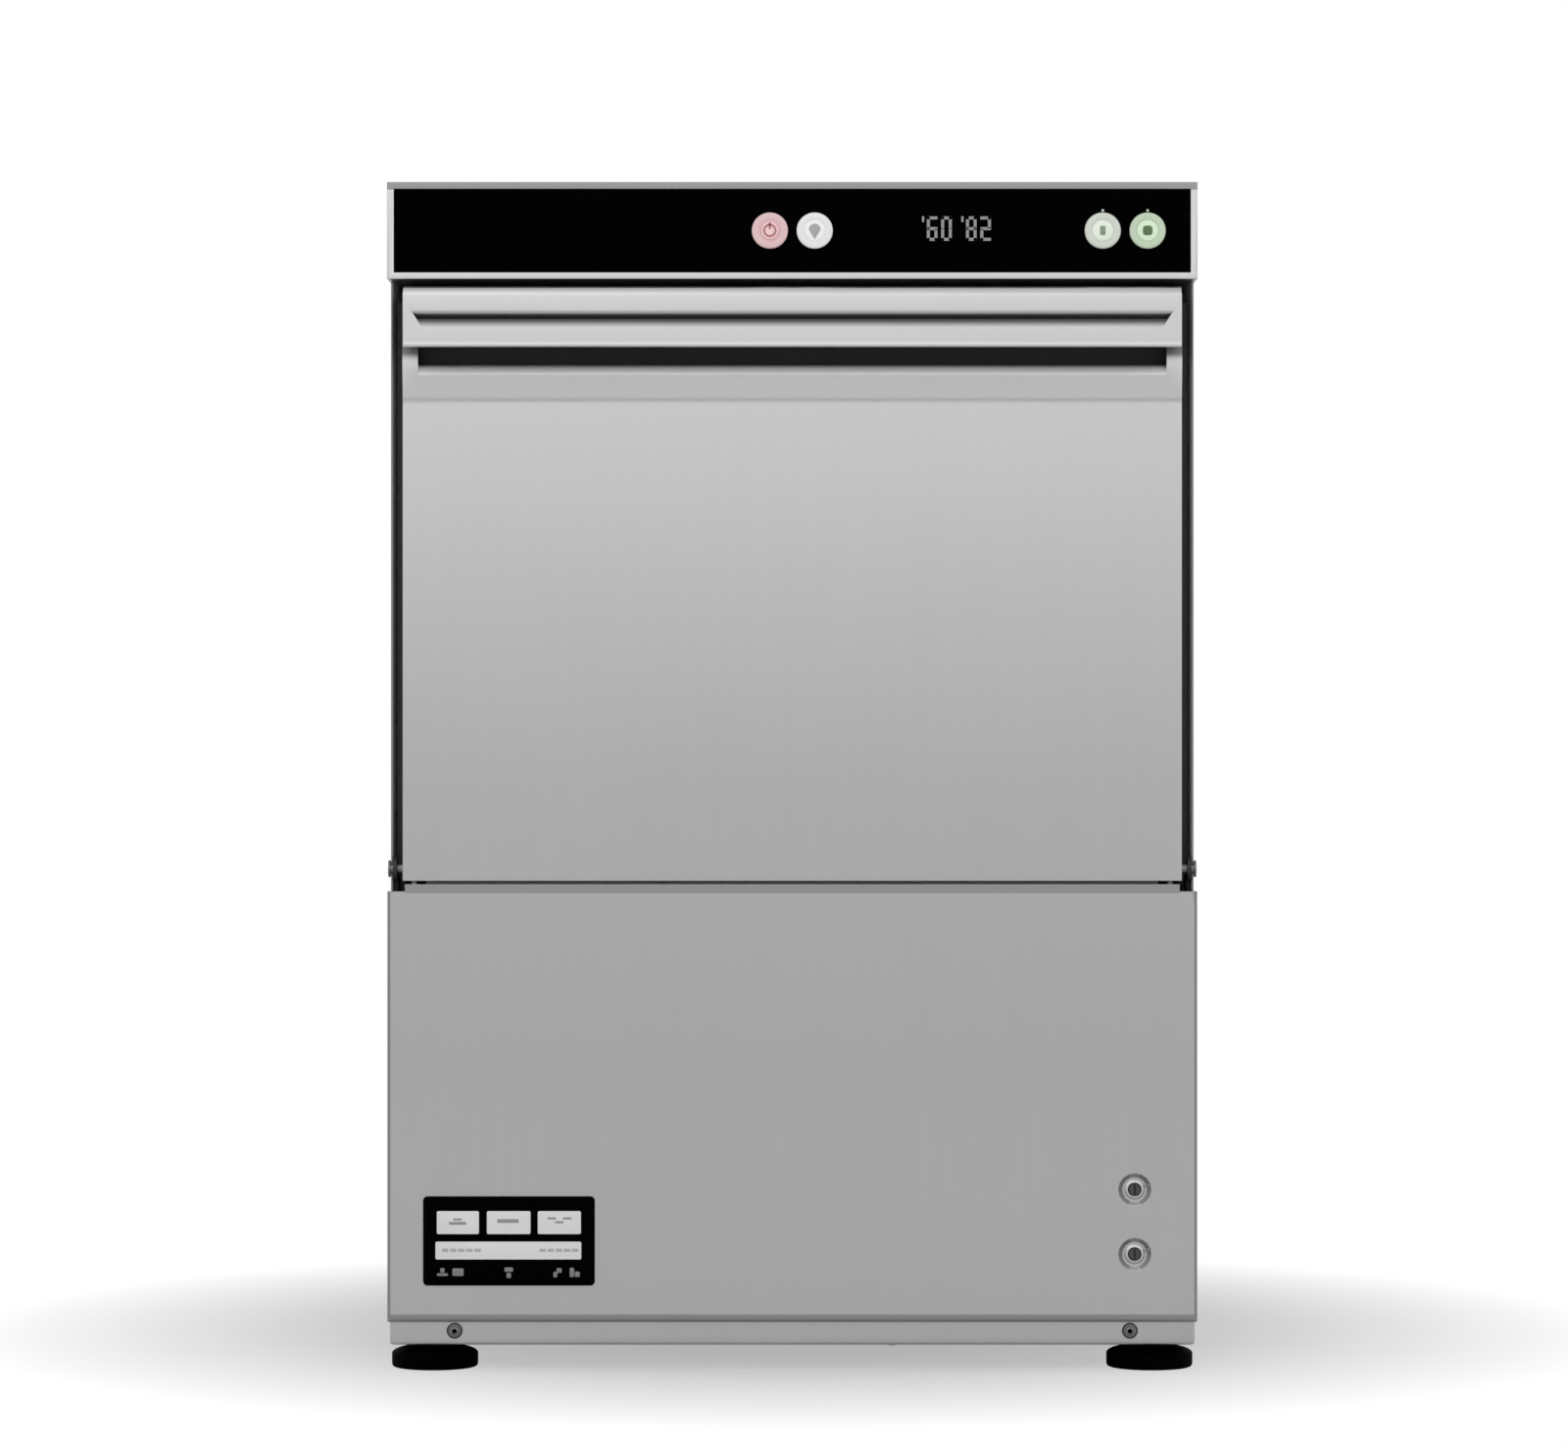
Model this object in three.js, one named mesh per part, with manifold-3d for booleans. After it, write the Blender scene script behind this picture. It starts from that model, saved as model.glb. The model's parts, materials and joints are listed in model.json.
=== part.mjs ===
// An under-counter glass washer: a stainless cabinet on four levelling feet, a drop-down door
// over a wash chamber, and the pumps, boiler, dosing units and controls that make it work.
// Millimetres, +X to the viewer's right, +Y to the back, +Z up. The origin is on the floor
// under the middle of the machine.
import * as THREE from 'three';
import { mergeVertices } from 'three/addons/utils/BufferGeometryUtils.js';
import Module from 'manifold-3d';

const wasm = await Module();
wasm.setup();

// Driving dimensions
const overallWidth = 470;
const overallHeight = 690;
const overallDepth = 560;
const sheet = 1.2;
const seatGap = 0.3;
const overrun = 5;
const roundSides = 16;
const smallSides = 8;
const hexSides = 6;
const arcSegments = 2;
const bendSteps = 4;

// Front of the machine, from the floor up
const footClearance = 15;
const plinthHeight = 15;
const lowerPanelHeight = 248.2;
const doorFloorGap = 6.2;
const hoodGap = 6.3;
const hoodHeight = 56.3;
const lowerPanelBottom = footClearance + plinthHeight + seatGap;
const lowerPanelTop = lowerPanelBottom + lowerPanelHeight;
const doorBottom = lowerPanelTop + doorFloorGap;
const hoodBottom = overallHeight - hoodHeight;
const doorTop = hoodBottom - hoodGap;

// Depth of the machine, from the handle back
const handleReach = 26;
const doorSetback = 2;
const doorThickness = 30;
const sealDepth = 4.4;
const rearFittingReach = 18;
const doorFaceY = -overallDepth / 2 + handleReach;
const panelFaceY = doorFaceY - doorSetback;
const doorBackY = doorFaceY + doorThickness;
const flangeY = doorBackY + seatGap + sealDepth + seatGap;
const rearPanelY = overallDepth / 2 - rearFittingReach;

// Widths, each measured from the middle of the machine
const skinInset = 1.5;
const doorSideGap = 7.5;
const halfWidth = overallWidth / 2;
const skinX = halfWidth - skinInset;
const doorX = skinX - doorSideGap;

// Door pivot
const pivotRise = 6.8;
const pivotSetback = 10;
const pinRadius = 3;
const pinClearance = 0.2;
const pivotY = doorFaceY + pivotSetback;
const pivotZ = doorBottom + pivotRise;

// Wash chamber
const chamberSideLand = 21;
const serviceDepth = 63;
const chamberFloorDrop = 22.7;
const chamberCeilingDrop = 18;
const sumpDepth = 62;
const sumpLedge = 15;
const sumpFrontLedge = 68;
const plugHeight = 6;
const chamberX = doorX - chamberSideLand;
const chamberBackY = rearPanelY - serviceDepth;
const chamberFloorZ = doorBottom - chamberFloorDrop;
const chamberCeilingZ = doorTop - chamberCeilingDrop;
const sumpX = chamberX - sumpLedge;
const sumpFrontY = flangeY + sumpFrontLedge;
const sumpBackY = chamberBackY - sumpLedge;
const sumpFloorZ = chamberFloorZ - sumpDepth;
const spindleY = (flangeY + chamberBackY) / 2;
const rackLevelZ = pivotZ + doorBackY - pivotY + plugHeight;

// Materials, in the colours that the photograph shows
const steel = () => new THREE.MeshStandardMaterial({ color: 0xb9babb, roughness: 0.36, metalness: 0.85 });
const brightSteel = () => new THREE.MeshStandardMaterial({ color: 0xcfd0d1, roughness: 0.25, metalness: 0.9 });
const darkSteel = () => new THREE.MeshStandardMaterial({ color: 0x2b2c2e, roughness: 0.5, metalness: 0.6 });
const blackGlass = () => new THREE.MeshStandardMaterial({ color: 0x030304, roughness: 0.12, metalness: 0 });
const rubber = () => new THREE.MeshStandardMaterial({ color: 0x17181a, roughness: 0.8, metalness: 0 });
const blackPlastic = () => new THREE.MeshStandardMaterial({ color: 0x0c0c0d, roughness: 0.55, metalness: 0 });
const greyPlastic = () => new THREE.MeshStandardMaterial({ color: 0x8e9295, roughness: 0.55, metalness: 0 });
const bluePlastic = () => new THREE.MeshStandardMaterial({ color: 0x2f5f8f, roughness: 0.5, metalness: 0 });
const whitePlastic = () => new THREE.MeshStandardMaterial({ color: 0xe9eae8, roughness: 0.4, metalness: 0 });
const pinkLens = () => new THREE.MeshStandardMaterial({ color: 0xe6c3c4, roughness: 0.3, metalness: 0 });
const greenLens = () => new THREE.MeshStandardMaterial({ color: 0xcfe2c9, roughness: 0.3, metalness: 0 });
const paleLens = () => new THREE.MeshStandardMaterial({ color: 0xe0e7d9, roughness: 0.3, metalness: 0 });
const boardGreen = () => new THREE.MeshStandardMaterial({ color: 0x1f5a37, roughness: 0.6, metalness: 0 });
const brass = () => new THREE.MeshStandardMaterial({ color: 0xb08d4a, roughness: 0.35, metalness: 0.9 });

const machine = new THREE.Group();

// A closed solid from a geometry: only positions are kept, equal corners are merged, triangles
// that a pole has closed up are dropped, and the faces are turned to point out.
function solid(geometry) {
  const bare = geometry.clone();
  bare.deleteAttribute('normal');
  bare.deleteAttribute('uv');
  const merged = mergeVertices(bare);
  const corners = Float32Array.from(merged.attributes.position.array);
  const index = merged.index.array;
  const kept = [];
  let volume = 0;
  const corner = (i) => new THREE.Vector3().fromArray(corners, 3 * i);
  for (let t = 0; t < index.length; t += 3) {
    const [a, b, c] = [index[t], index[t + 1], index[t + 2]];
    if (a === b || b === c || c === a) continue;
    kept.push([a, b, c]);
    volume += corner(a).dot(corner(b).cross(corner(c)));
  }
  const outward = volume < 0 ? kept.map(([a, b, c]) => [a, c, b]) : kept;
  const triVerts = Uint32Array.from(outward.flat());
  return new wasm.Manifold(new wasm.Mesh({ numProp: 3, vertProperties: corners, triVerts }));
}

// The geometry of a solid.
function geometryOf(shape) {
  const mesh = shape.getMesh();
  const geometry = new THREE.BufferGeometry();
  geometry.setAttribute('position', new THREE.BufferAttribute(Float32Array.from(mesh.vertProperties), 3));
  geometry.setIndex(new THREE.BufferAttribute(Uint32Array.from(mesh.triVerts), 1));
  return geometry;
}

// Adds one named piece, made of one or more solids, to the machine.
function add(name, material, ...solids) {
  const geometry = geometryOf(join(...solids));
  geometry.computeVertexNormals();
  const piece = new THREE.Mesh(geometry, material);
  piece.name = name;
  machine.add(piece);
  return piece;
}

const join = (first, ...rest) => rest.reduce((whole, next) => whole.add(next), first);
const cut = (first, ...tools) => tools.reduce((whole, tool) => whole.subtract(tool), first);

// A block between two corners.
function block(x0, x1, y0, y1, z0, z1) {
  const box = new THREE.BoxGeometry(x1 - x0, y1 - y0, z1 - z0);
  return solid(box.translate((x0 + x1) / 2, (y0 + y1) / 2, (z0 + z1) / 2));
}

// Round bars along each axis, given by radius, both ends and the two other coordinates.
function rodX(radius, x0, x1, y, z, sides = roundSides) {
  const bar = new THREE.CylinderGeometry(radius, radius, x1 - x0, sides).rotateZ(Math.PI / 2);
  return solid(bar.translate((x0 + x1) / 2, y, z));
}
function rodY(radius, y0, y1, x, z, sides = roundSides) {
  const bar = new THREE.CylinderGeometry(radius, radius, y1 - y0, sides);
  return solid(bar.translate(x, (y0 + y1) / 2, z));
}
function rodZ(radius, z0, z1, x, y, sides = roundSides) {
  const bar = new THREE.CylinderGeometry(radius, radius, z1 - z0, sides).rotateX(Math.PI / 2);
  return solid(bar.translate(x, y, (z0 + z1) / 2));
}

// A turned shape about a vertical axis, from [radius, height] pairs that start and end on it.
function turnedZ(profile, x, y, sides = roundSides) {
  const points = profile.map(([radius, height]) => new THREE.Vector2(radius, height));
  return solid(new THREE.LatheGeometry(points, sides).rotateX(Math.PI / 2).translate(x, y, 0));
}

// The same about an axis along Y, from [radius, y] pairs.
function turnedY(profile, x, z, sides = roundSides) {
  const points = profile.map(([radius, along]) => new THREE.Vector2(radius, along));
  return solid(new THREE.LatheGeometry(points, sides).translate(x, 0, z));
}

// A ring whose own axis lies along Y, from its middle radius and its wire's radius.
function wireRing(ringRadius, wireRadius, x, y, z) {
  const ring = new THREE.TorusGeometry(ringRadius, wireRadius, smallSides / 2, roundSides);
  return solid(ring.rotateX(Math.PI / 2).translate(x, y, z));
}

// A flat outline pushed along one axis. Outlines are [y, z], [x, z] and [x, y] pairs in turn.
function prismX(outline, x0, x1) {
  const turn = new THREE.Matrix4().set(0, 0, 1, x0, 1, 0, 0, 0, 0, 1, 0, 0, 0, 0, 0, 1);
  return pushed(outline, x1 - x0, turn);
}
function prismY(outline, y0, y1) {
  const turn = new THREE.Matrix4().set(1, 0, 0, 0, 0, 0, -1, y1, 0, 1, 0, 0, 0, 0, 0, 1);
  return pushed(outline, y1 - y0, turn);
}
function prismZ(outline, z0, z1) {
  return pushed(outline, z1 - z0, new THREE.Matrix4().makeTranslation(0, 0, z0));
}
function pushed(outline, depth, turn) {
  const points = outline instanceof THREE.Shape ? [] : outline.map((p) => new THREE.Vector2(...p));
  const shape = outline instanceof THREE.Shape ? outline : new THREE.Shape(points);
  const body = new THREE.ExtrudeGeometry(shape, { depth, bevelEnabled: false, curveSegments: arcSegments });
  return solid(body.applyMatrix4(turn));
}

// A straight slot with round ends, as a shape centred on a point.
function slotShape(u, v, length, width) {
  const shape = new THREE.Shape();
  const reach = (length - width) / 2;
  shape.absarc(u + reach, v, width / 2, -Math.PI / 2, Math.PI / 2);
  shape.absarc(u - reach, v, width / 2, Math.PI / 2, 3 * Math.PI / 2);
  return shape;
}

// A path through listed points, on which the steps of an extrusion fall exactly.
class PointPath extends THREE.Curve {
  constructor(points) {
    super();
    this.points = points;
  }

  getPoint(t, target = new THREE.Vector3()) {
    const place = t * (this.points.length - 1);
    const i = Math.min(Math.floor(place), this.points.length - 2);
    return target.copy(this.points[i]).lerp(this.points[i + 1], place - i);
  }

  getPointAt(u, target) {
    return this.getPoint(u, target);
  }

  getTangentAt(u, target = new THREE.Vector3()) {
    const last = this.points.length - 1;
    const i = Math.round(u * last);
    const here = this.points[i];
    const before = this.points[Math.max(i - 1, 0)];
    const after = this.points[Math.min(i + 1, last)];
    const arriving = here.clone().sub(before).normalize();
    const leaving = after.clone().sub(here).normalize();
    return target.copy(arriving).add(leaving).normalize();
  }
}

// A pipe through corner points, with each corner rounded to a bend.
function pipe(corners, radius, bend) {
  const points = corners.map((p) => new THREE.Vector3(...p));
  const route = [points[0]];
  for (let i = 1; i < points.length - 1; i += 1) {
    const before = points[i].clone().lerp(points[i - 1], bend / points[i].distanceTo(points[i - 1]));
    const after = points[i].clone().lerp(points[i + 1], bend / points[i].distanceTo(points[i + 1]));
    route.push(...new THREE.QuadraticBezierCurve3(before, points[i], after).getPoints(bendSteps));
  }
  route.push(points[points.length - 1]);
  const round = new THREE.Shape().absarc(0, 0, radius, 0, 2 * Math.PI);
  const extrudePath = new PointPath(route);
  const settings = { steps: route.length - 1, curveSegments: arcSegments * 2, extrudePath };
  return solid(new THREE.ExtrudeGeometry(round, settings));
}

// A solid moved, turned about the vertical or about X, or mirrored.
const changed = (shape, change) => solid(geometryOf(shape).applyMatrix4(change));
const moved = (shape, x, y, z) => changed(shape, new THREE.Matrix4().makeTranslation(x, y, z));
const turnedAboutZ = (shape, angle) => changed(shape, new THREE.Matrix4().makeRotationZ(angle));
const turnedAboutX = (shape, angle) => changed(shape, new THREE.Matrix4().makeRotationX(angle));
const mirrored = (shape) => changed(shape, new THREE.Matrix4().makeScale(-1, 1, 1));
const upsideDown = (shape) => changed(shape, new THREE.Matrix4().makeScale(1, 1, -1));
const bothSides = (shape) => [shape, mirrored(shape)];

// Levelling feet
const footInset = 26;
const footSetback = 29;
const padRadius = 25.2;
const padHeight = 7.8;
const padChamfer = 1.5;
const padCrownRadius = 12;
const studRadius = 5;
const studHoleRadius = 5.4;
const studLength = 34;
const nutRadius = 10;
const nutHeight = 8;
const footX = halfWidth - footInset;
const frontFootY = panelFaceY + footSetback;
const rearFootY = rearPanelY - footSetback;
const footPlaces = {
  foot_front_left: [-footX, frontFootY],
  foot_front_right: [footX, frontFootY],
  foot_rear_left: [-footX, rearFootY],
  foot_rear_right: [footX, rearFootY],
};

function makeFeet() {
  const crownTop = footClearance - seatGap;
  const studTop = crownTop + studLength;
  for (const [name, [x, y]] of Object.entries(footPlaces)) {
    const profile = [
      [0, 0], [padRadius - padChamfer, 0], [padRadius, padChamfer], [padRadius, padHeight - padChamfer],
      [padRadius - padChamfer, padHeight], [padCrownRadius, crownTop], [studRadius, crownTop],
      [studRadius, studTop - padChamfer], [studRadius - padChamfer, studTop], [0, studTop],
    ];
    add(name, blackPlastic(), turnedZ(profile, x, y));
  }
}

// Base tray: a shallow pan with a lip all round that the cabinet stands on
const trayInset = 4;
const trayLip = 16;
const screwHoleRadius = 2.6;
const plinthScrewInset = 39.8;
const undersideScrewX = 58;
const undersideScrewSetback = 14;
const ventCount = 4;
const ventLength = 90;
const ventWidth = 6;
const ventPitch = 14;
const trayFrontY = panelFaceY + trayInset;
const trayBackY = rearPanelY - sheet - seatGap;
const trayTop = footClearance + plinthHeight;
const plinthScrewX = halfWidth - plinthScrewInset;
const plinthScrewZ = footClearance + plinthHeight / 2;
const undersideScrewY = trayFrontY + undersideScrewSetback;

function makeBaseTray() {
  const outside = block(-skinX, skinX, trayFrontY, trayBackY, footClearance, trayTop);
  const inside = block(
    -skinX + sheet, skinX - sheet, trayFrontY + sheet, trayBackY - sheet,
    footClearance + sheet, trayTop - sheet,
  );
  const mouth = block(
    -skinX + trayLip, skinX - trayLip, trayFrontY + trayLip, trayBackY - trayLip,
    trayTop - sheet - overrun, trayTop + overrun,
  );
  const places = Object.values(footPlaces);
  const nutBottom = footClearance + sheet / 2;
  const nutTop = footClearance + nutHeight;
  const nuts = places.map(([x, y]) => rodZ(nutRadius, nutBottom, nutTop, x, y, hexSides));
  const studHoles = places.map(([x, y]) => rodZ(studHoleRadius, 0, trayTop + overrun, x, y));
  const frontHoles = bothSides(
    rodY(
      screwHoleRadius, trayFrontY - overrun, trayFrontY + overrun, plinthScrewX, plinthScrewZ, smallSides,
    ),
  );
  const underHole = rodZ(screwHoleRadius, 0, trayTop, undersideScrewX, undersideScrewY, smallSides);
  const vents = Array.from({ length: ventCount }, (_, i) => {
    const y = spindleY + (i - (ventCount - 1) / 2) * ventPitch;
    return prismZ(slotShape(0, y, ventLength, ventWidth), 0, trayTop);
  });
  const pan = join(cut(outside, inside, mouth), ...nuts);
  add('base_tray', steel(), cut(pan, ...studHoles, ...frontHoles, underHole, ...vents));
}

// Side panels: one skin each, stepped back behind the lower panel and below the hood
const skinFrontSetback = 8;
const skinLowerSetback = 16;
const skinReturn = 14;
const hoodDepth = 55;
const topPlateZ = overallHeight - sheet;
const hoodBackY = panelFaceY + hoodDepth;
const skinFrontY = doorFaceY + skinFrontSetback;
const skinLowerFrontY = panelFaceY + skinLowerSetback;
const skinBackY = rearPanelY - sheet - seatGap;
const skinTop = topPlateZ - seatGap;
const skinStepZ = hoodBottom - seatGap;
const hoodNotchY = hoodBackY + seatGap;

function makeSidePanels() {
  const face = [
    [skinLowerFrontY, lowerPanelBottom], [skinBackY, lowerPanelBottom], [skinBackY, skinTop],
    [hoodNotchY, skinTop], [hoodNotchY, skinStepZ], [skinFrontY, skinStepZ], [
      skinFrontY, lowerPanelTop + seatGap,
    ],
    [skinLowerFrontY, lowerPanelTop + seatGap],
  ];
  const channel = prismX(face, skinX - skinReturn, skinX);
  const hollow = block(
    skinX - skinReturn - overrun, skinX - sheet, skinFrontY - overrun, skinBackY - sheet,
    lowerPanelBottom + sheet, skinTop - sheet,
  );
  const pinHole = rodX(pinRadius + pinClearance, skinX - skinReturn, skinX + overrun, pivotY, pivotZ);
  const right = cut(channel, hollow, pinHole, ...rearScrewHoles(rearScrewX));
  add('side_panel_right', steel(), right);
  add('side_panel_left', steel(), mirrored(right));
}

// Rear panel: a flat sheet with louvre slots, screwed to the returns of the side panels
const rearScrewRowsShare = [0.04, 0.5, 0.96];
const louvreCount = 6;
const louvreLength = 120;
const louvreWidth = 5;
const louvrePitch = 13;
const louvreRise = 70;
const fittingRise = 35;
const drainInset = 85;
const inletInset = 175;
const glandInset = 95;
const inletRadius = 13;
const drainRadius = 11;
const glandRadius = 9;
const drainX = -halfWidth + drainInset;
const inletX = -halfWidth + inletInset;
const glandX = halfWidth - glandInset;
const rearPanelBottom = lowerPanelBottom;
const rearPanelTop = skinTop - sheet;
const fittingZ = footClearance + plinthHeight + fittingRise;
const rearPanelHeight = rearPanelTop - rearPanelBottom;
const rearScrewZ = rearScrewRowsShare.map((share) => rearPanelBottom + share * rearPanelHeight);
const rearScrewX = skinX - skinReturn / 2;

function rearScrewHoles(x) {
  return rearScrewZ.map((z) => (
    rodY(screwHoleRadius, skinBackY - sheet - overrun, rearPanelY + overrun, x, z, smallSides)
  ));
}

function makeRearPanel() {
  const plate = block(-skinX, skinX, rearPanelY - sheet, rearPanelY, rearPanelBottom, rearPanelTop);
  const hole = (x, radius) => rodY(
    radius + seatGap, rearPanelY - overrun, rearPanelY + overrun, x, fittingZ,
  );
  const louvres = Array.from({ length: louvreCount }, (_, i) => {
    const z = fittingZ + louvreRise + i * louvrePitch;
    return prismY(slotShape(0, z, louvreLength, louvreWidth), rearPanelY - overrun, rearPanelY + overrun);
  });
  const screwHoles = rearScrewHoles(rearScrewX).flatMap(bothSides);
  add('rear_panel', steel(), cut(
    plate, hole(inletX, inletRadius), hole(drainX, drainRadius), hole(glandX, glandRadius),
    ...louvres, ...screwHoles,
  ));
}

// Top cover: a lid with a skirt on its sides and back, over the side panels
const skirtHeight = 25;
const coverFrontY = hoodBackY + seatGap;
const coverBackY = rearPanelY + seatGap + sheet;

function makeTopCover() {
  const outside = block(
    -halfWidth, halfWidth, coverFrontY, coverBackY, overallHeight - skirtHeight, overallHeight,
  );
  const inside = block(
    -halfWidth + sheet, halfWidth - sheet, coverFrontY - overrun, coverBackY - sheet,
    overallHeight - skirtHeight - overrun, topPlateZ,
  );
  add('top_cover', steel(), cut(outside, inside));
}

// Control hood: the folded box across the top of the front, with a recess for the black glass
const glassBorderSide = 4;
const glassBorderTop = 4.1;
const glassBorderBottom = 3.9;
const glassThickness = 3;
const glassSetback = 0.5;
const hoodLedge = 10;
const glassX = halfWidth - glassBorderSide - seatGap;
const glassBottom = hoodBottom + glassBorderBottom + seatGap;
const glassTop = overallHeight - glassBorderTop - seatGap;
const glassFaceY = panelFaceY + glassSetback;
const glassBackY = glassFaceY + glassThickness;
const hoodWallY = glassBackY + seatGap + sheet;
const panelMiddleZ = (glassBottom + glassTop) / 2;

function makeControlHood() {
  const outside = block(-halfWidth, halfWidth, panelFaceY, hoodBackY, hoodBottom, overallHeight);
  const inside = block(
    -halfWidth + sheet, halfWidth - sheet, hoodWallY, hoodBackY + overrun, hoodBottom + sheet, topPlateZ,
  );
  const pocket = block(
    -glassX - seatGap, glassX + seatGap, panelFaceY - overrun, glassBackY + seatGap,
    glassBottom - seatGap, glassTop + seatGap,
  );
  const mouth = block(
    -glassX + hoodLedge, glassX - hoodLedge, panelFaceY - overrun, hoodWallY + overrun,
    glassBottom + hoodLedge, glassTop - hoodLedge,
  );
  add('control_hood', steel(), cut(outside, inside, pocket, mouth));
}

// Push buttons and the black glass that they pass through
const buttonRadius = 10.5;
const buttonProud = 1.6;
const buttonClearance = 0.4;
const buttonFlangeRadius = 12.5;
const buttonFlangeDepth = 2;
const buttonDome = 0.5;
const stemRadius = 3;
const buttonTravel = 1.2;
const buttonPitch = 26;
const outerPairInset = 42;
const boardDepth = 16;
const boardThickness = 1.6;
const boardMarginX = 12;
const boardMarginZ = 5;
const switchDepth = 5;
const switchHalf = 5;
const switchSlack = 0.4;
const boardFrontY = hoodWallY + boardDepth;
const switchFaceY = boardFrontY - switchDepth;
const stemEndY = switchFaceY - buttonTravel - switchSlack;
const outerPairX = halfWidth - outerPairInset;
const buttonPlaces = {
  button_power: [-buttonPitch / 2, pinkLens],
  button_drain: [buttonPitch / 2, whitePlastic],
  button_short_cycle: [outerPairX - buttonPitch / 2, paleLens],
  button_long_cycle: [outerPairX + buttonPitch / 2, greenLens],
};
const buttonXs = Object.values(buttonPlaces).map(([x]) => x);

function makeFasciaGlass() {
  const pane = block(-glassX, glassX, glassFaceY, glassBackY, glassBottom, glassTop);
  const holes = buttonXs.map((x) => (
    rodY(buttonRadius + buttonClearance, glassFaceY - overrun, glassBackY + overrun, x, panelMiddleZ)
  ));
  add('fascia_glass', blackGlass(), cut(pane, ...holes));
}

function makeButtons() {
  const flangeFront = glassBackY + seatGap;
  for (const [name, [x, material]] of Object.entries(buttonPlaces)) {
    const face = glassFaceY - buttonProud;
    const profile = [
      [0, stemEndY], [stemRadius, stemEndY], [stemRadius, flangeFront + buttonFlangeDepth],
      [buttonFlangeRadius, flangeFront + buttonFlangeDepth], [buttonFlangeRadius, flangeFront],
      [buttonRadius, flangeFront], [buttonRadius, face + buttonDome], [buttonRadius - buttonDome, face], [
        0, face,
      ],
    ];
    add(name, material(), turnedY(profile, x, panelMiddleZ));
  }
}

// Control board: the switches behind the buttons and the display behind the glass, on standoffs
const displayInset = 138.7;
const displayWidth = 50;
const displayHeight = 20;
const displayX = halfWidth - displayInset;
const standoffRadius = 2.5;
const standoffInsetX = 2.5;

function makeControlBoard() {
  const boardX = glassX - boardMarginX / 2;
  const board = block(
    -boardX, boardX, boardFrontY, boardFrontY + boardThickness,
    glassBottom + boardMarginZ, glassTop - boardMarginZ,
  );
  const switches = buttonXs.map((x) => block(
    x - switchHalf, x + switchHalf, switchFaceY, boardFrontY + boardThickness / 2,
    panelMiddleZ - switchHalf, panelMiddleZ + switchHalf,
  ));
  const display = block(
    displayX - displayWidth / 2, displayX + displayWidth / 2,
    glassBackY + seatGap, boardFrontY + boardThickness / 2,
    panelMiddleZ - displayHeight / 2, panelMiddleZ + displayHeight / 2,
  );
  const standoffX = boardX - standoffInsetX;
  const standoffs = bothSides(
    rodY(
      standoffRadius, hoodWallY + seatGap, boardFrontY + boardThickness / 2, standoffX, panelMiddleZ,
      smallSides,
    ),
  );
  add('control_board', boardGreen(), board, ...switches, display, ...standoffs);
}

// Lower front panel: a folded sheet with two dished screw wells for the dosing adjusters
const lowerSideReturn = 22;
const lowerTopReturn = 13;
const lowerBottomReturn = 16;
const adjusterInset = 36.4;
const adjusterRise = 37.7;
const adjusterPitch = 37.5;
const wellRadius = 9.6;
const wellDepth = 2.4;
const wellFloorRadius = 7.2;
const adjusterRadius = 4;
const adjusterClearance = 0.4;
const adjusterX = halfWidth - adjusterInset;
const lowerAdjusterZ = lowerPanelBottom + adjusterRise;
const upperAdjusterZ = lowerAdjusterZ + adjusterPitch;
const adjusterZs = [upperAdjusterZ, lowerAdjusterZ];

// The round dish of a screw well, pushed out of the sheet by a given amount on its back.
function wellDish(z, growth) {
  const mouthY = panelFaceY - (growth > 0 ? 0 : overrun);
  const profile = [
    [0, panelFaceY + wellDepth + growth], [wellFloorRadius + growth, panelFaceY + wellDepth + growth],
    [wellRadius + growth, panelFaceY], [wellRadius + growth, mouthY], [0, mouthY],
  ];
  return turnedY(profile, adjusterX, z);
}

function makeLowerPanel() {
  const outside = block(
    -halfWidth, halfWidth, panelFaceY, panelFaceY + lowerSideReturn, lowerPanelBottom, lowerPanelTop,
  );
  const inside = block(
    -halfWidth + sheet, halfWidth - sheet, panelFaceY + sheet, panelFaceY + lowerSideReturn + overrun,
    lowerPanelBottom + sheet, lowerPanelTop - sheet,
  );
  const topTrim = block(
    -halfWidth + sheet, halfWidth - sheet,
    panelFaceY + lowerTopReturn, panelFaceY + lowerSideReturn + overrun,
    lowerPanelTop - sheet - overrun, lowerPanelTop + overrun,
  );
  const bottomTrim = block(
    -halfWidth + sheet, halfWidth - sheet, panelFaceY + lowerBottomReturn - sheet,
    panelFaceY + lowerSideReturn + overrun, lowerPanelBottom - overrun, lowerPanelBottom + sheet + overrun,
  );
  const shell = cut(outside, inside, topTrim, bottomTrim);
  const dished = join(shell, ...adjusterZs.map((z) => wellDish(z, sheet)));
  const wells = adjusterZs.map((z) => wellDish(z, 0));
  const shaftHoles = adjusterZs.map((z) => rodY(
    adjusterRadius + adjusterClearance, panelFaceY, panelFaceY + wellDepth + sheet + overrun, adjusterX, z,
  ));
  add('lower_front_panel', steel(), cut(dished, ...wells, ...shaftHoles));
}

// Instruction plate on the lower panel
const plateInset = 21;
const plateRise = 19.7;
const plateWidth = 99.5;
const plateHeight = 51.7;
const plateThickness = 0.9;
const plateCorner = 2.5;

function roundedOutline(u0, u1, v0, v1, corner) {
  const shape = new THREE.Shape();
  shape.absarc(u1 - corner, v0 + corner, corner, -Math.PI / 2, 0);
  shape.absarc(u1 - corner, v1 - corner, corner, 0, Math.PI / 2);
  shape.absarc(u0 + corner, v1 - corner, corner, Math.PI / 2, Math.PI);
  shape.absarc(u0 + corner, v0 + corner, corner, Math.PI, 3 * Math.PI / 2);
  return shape;
}

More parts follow.
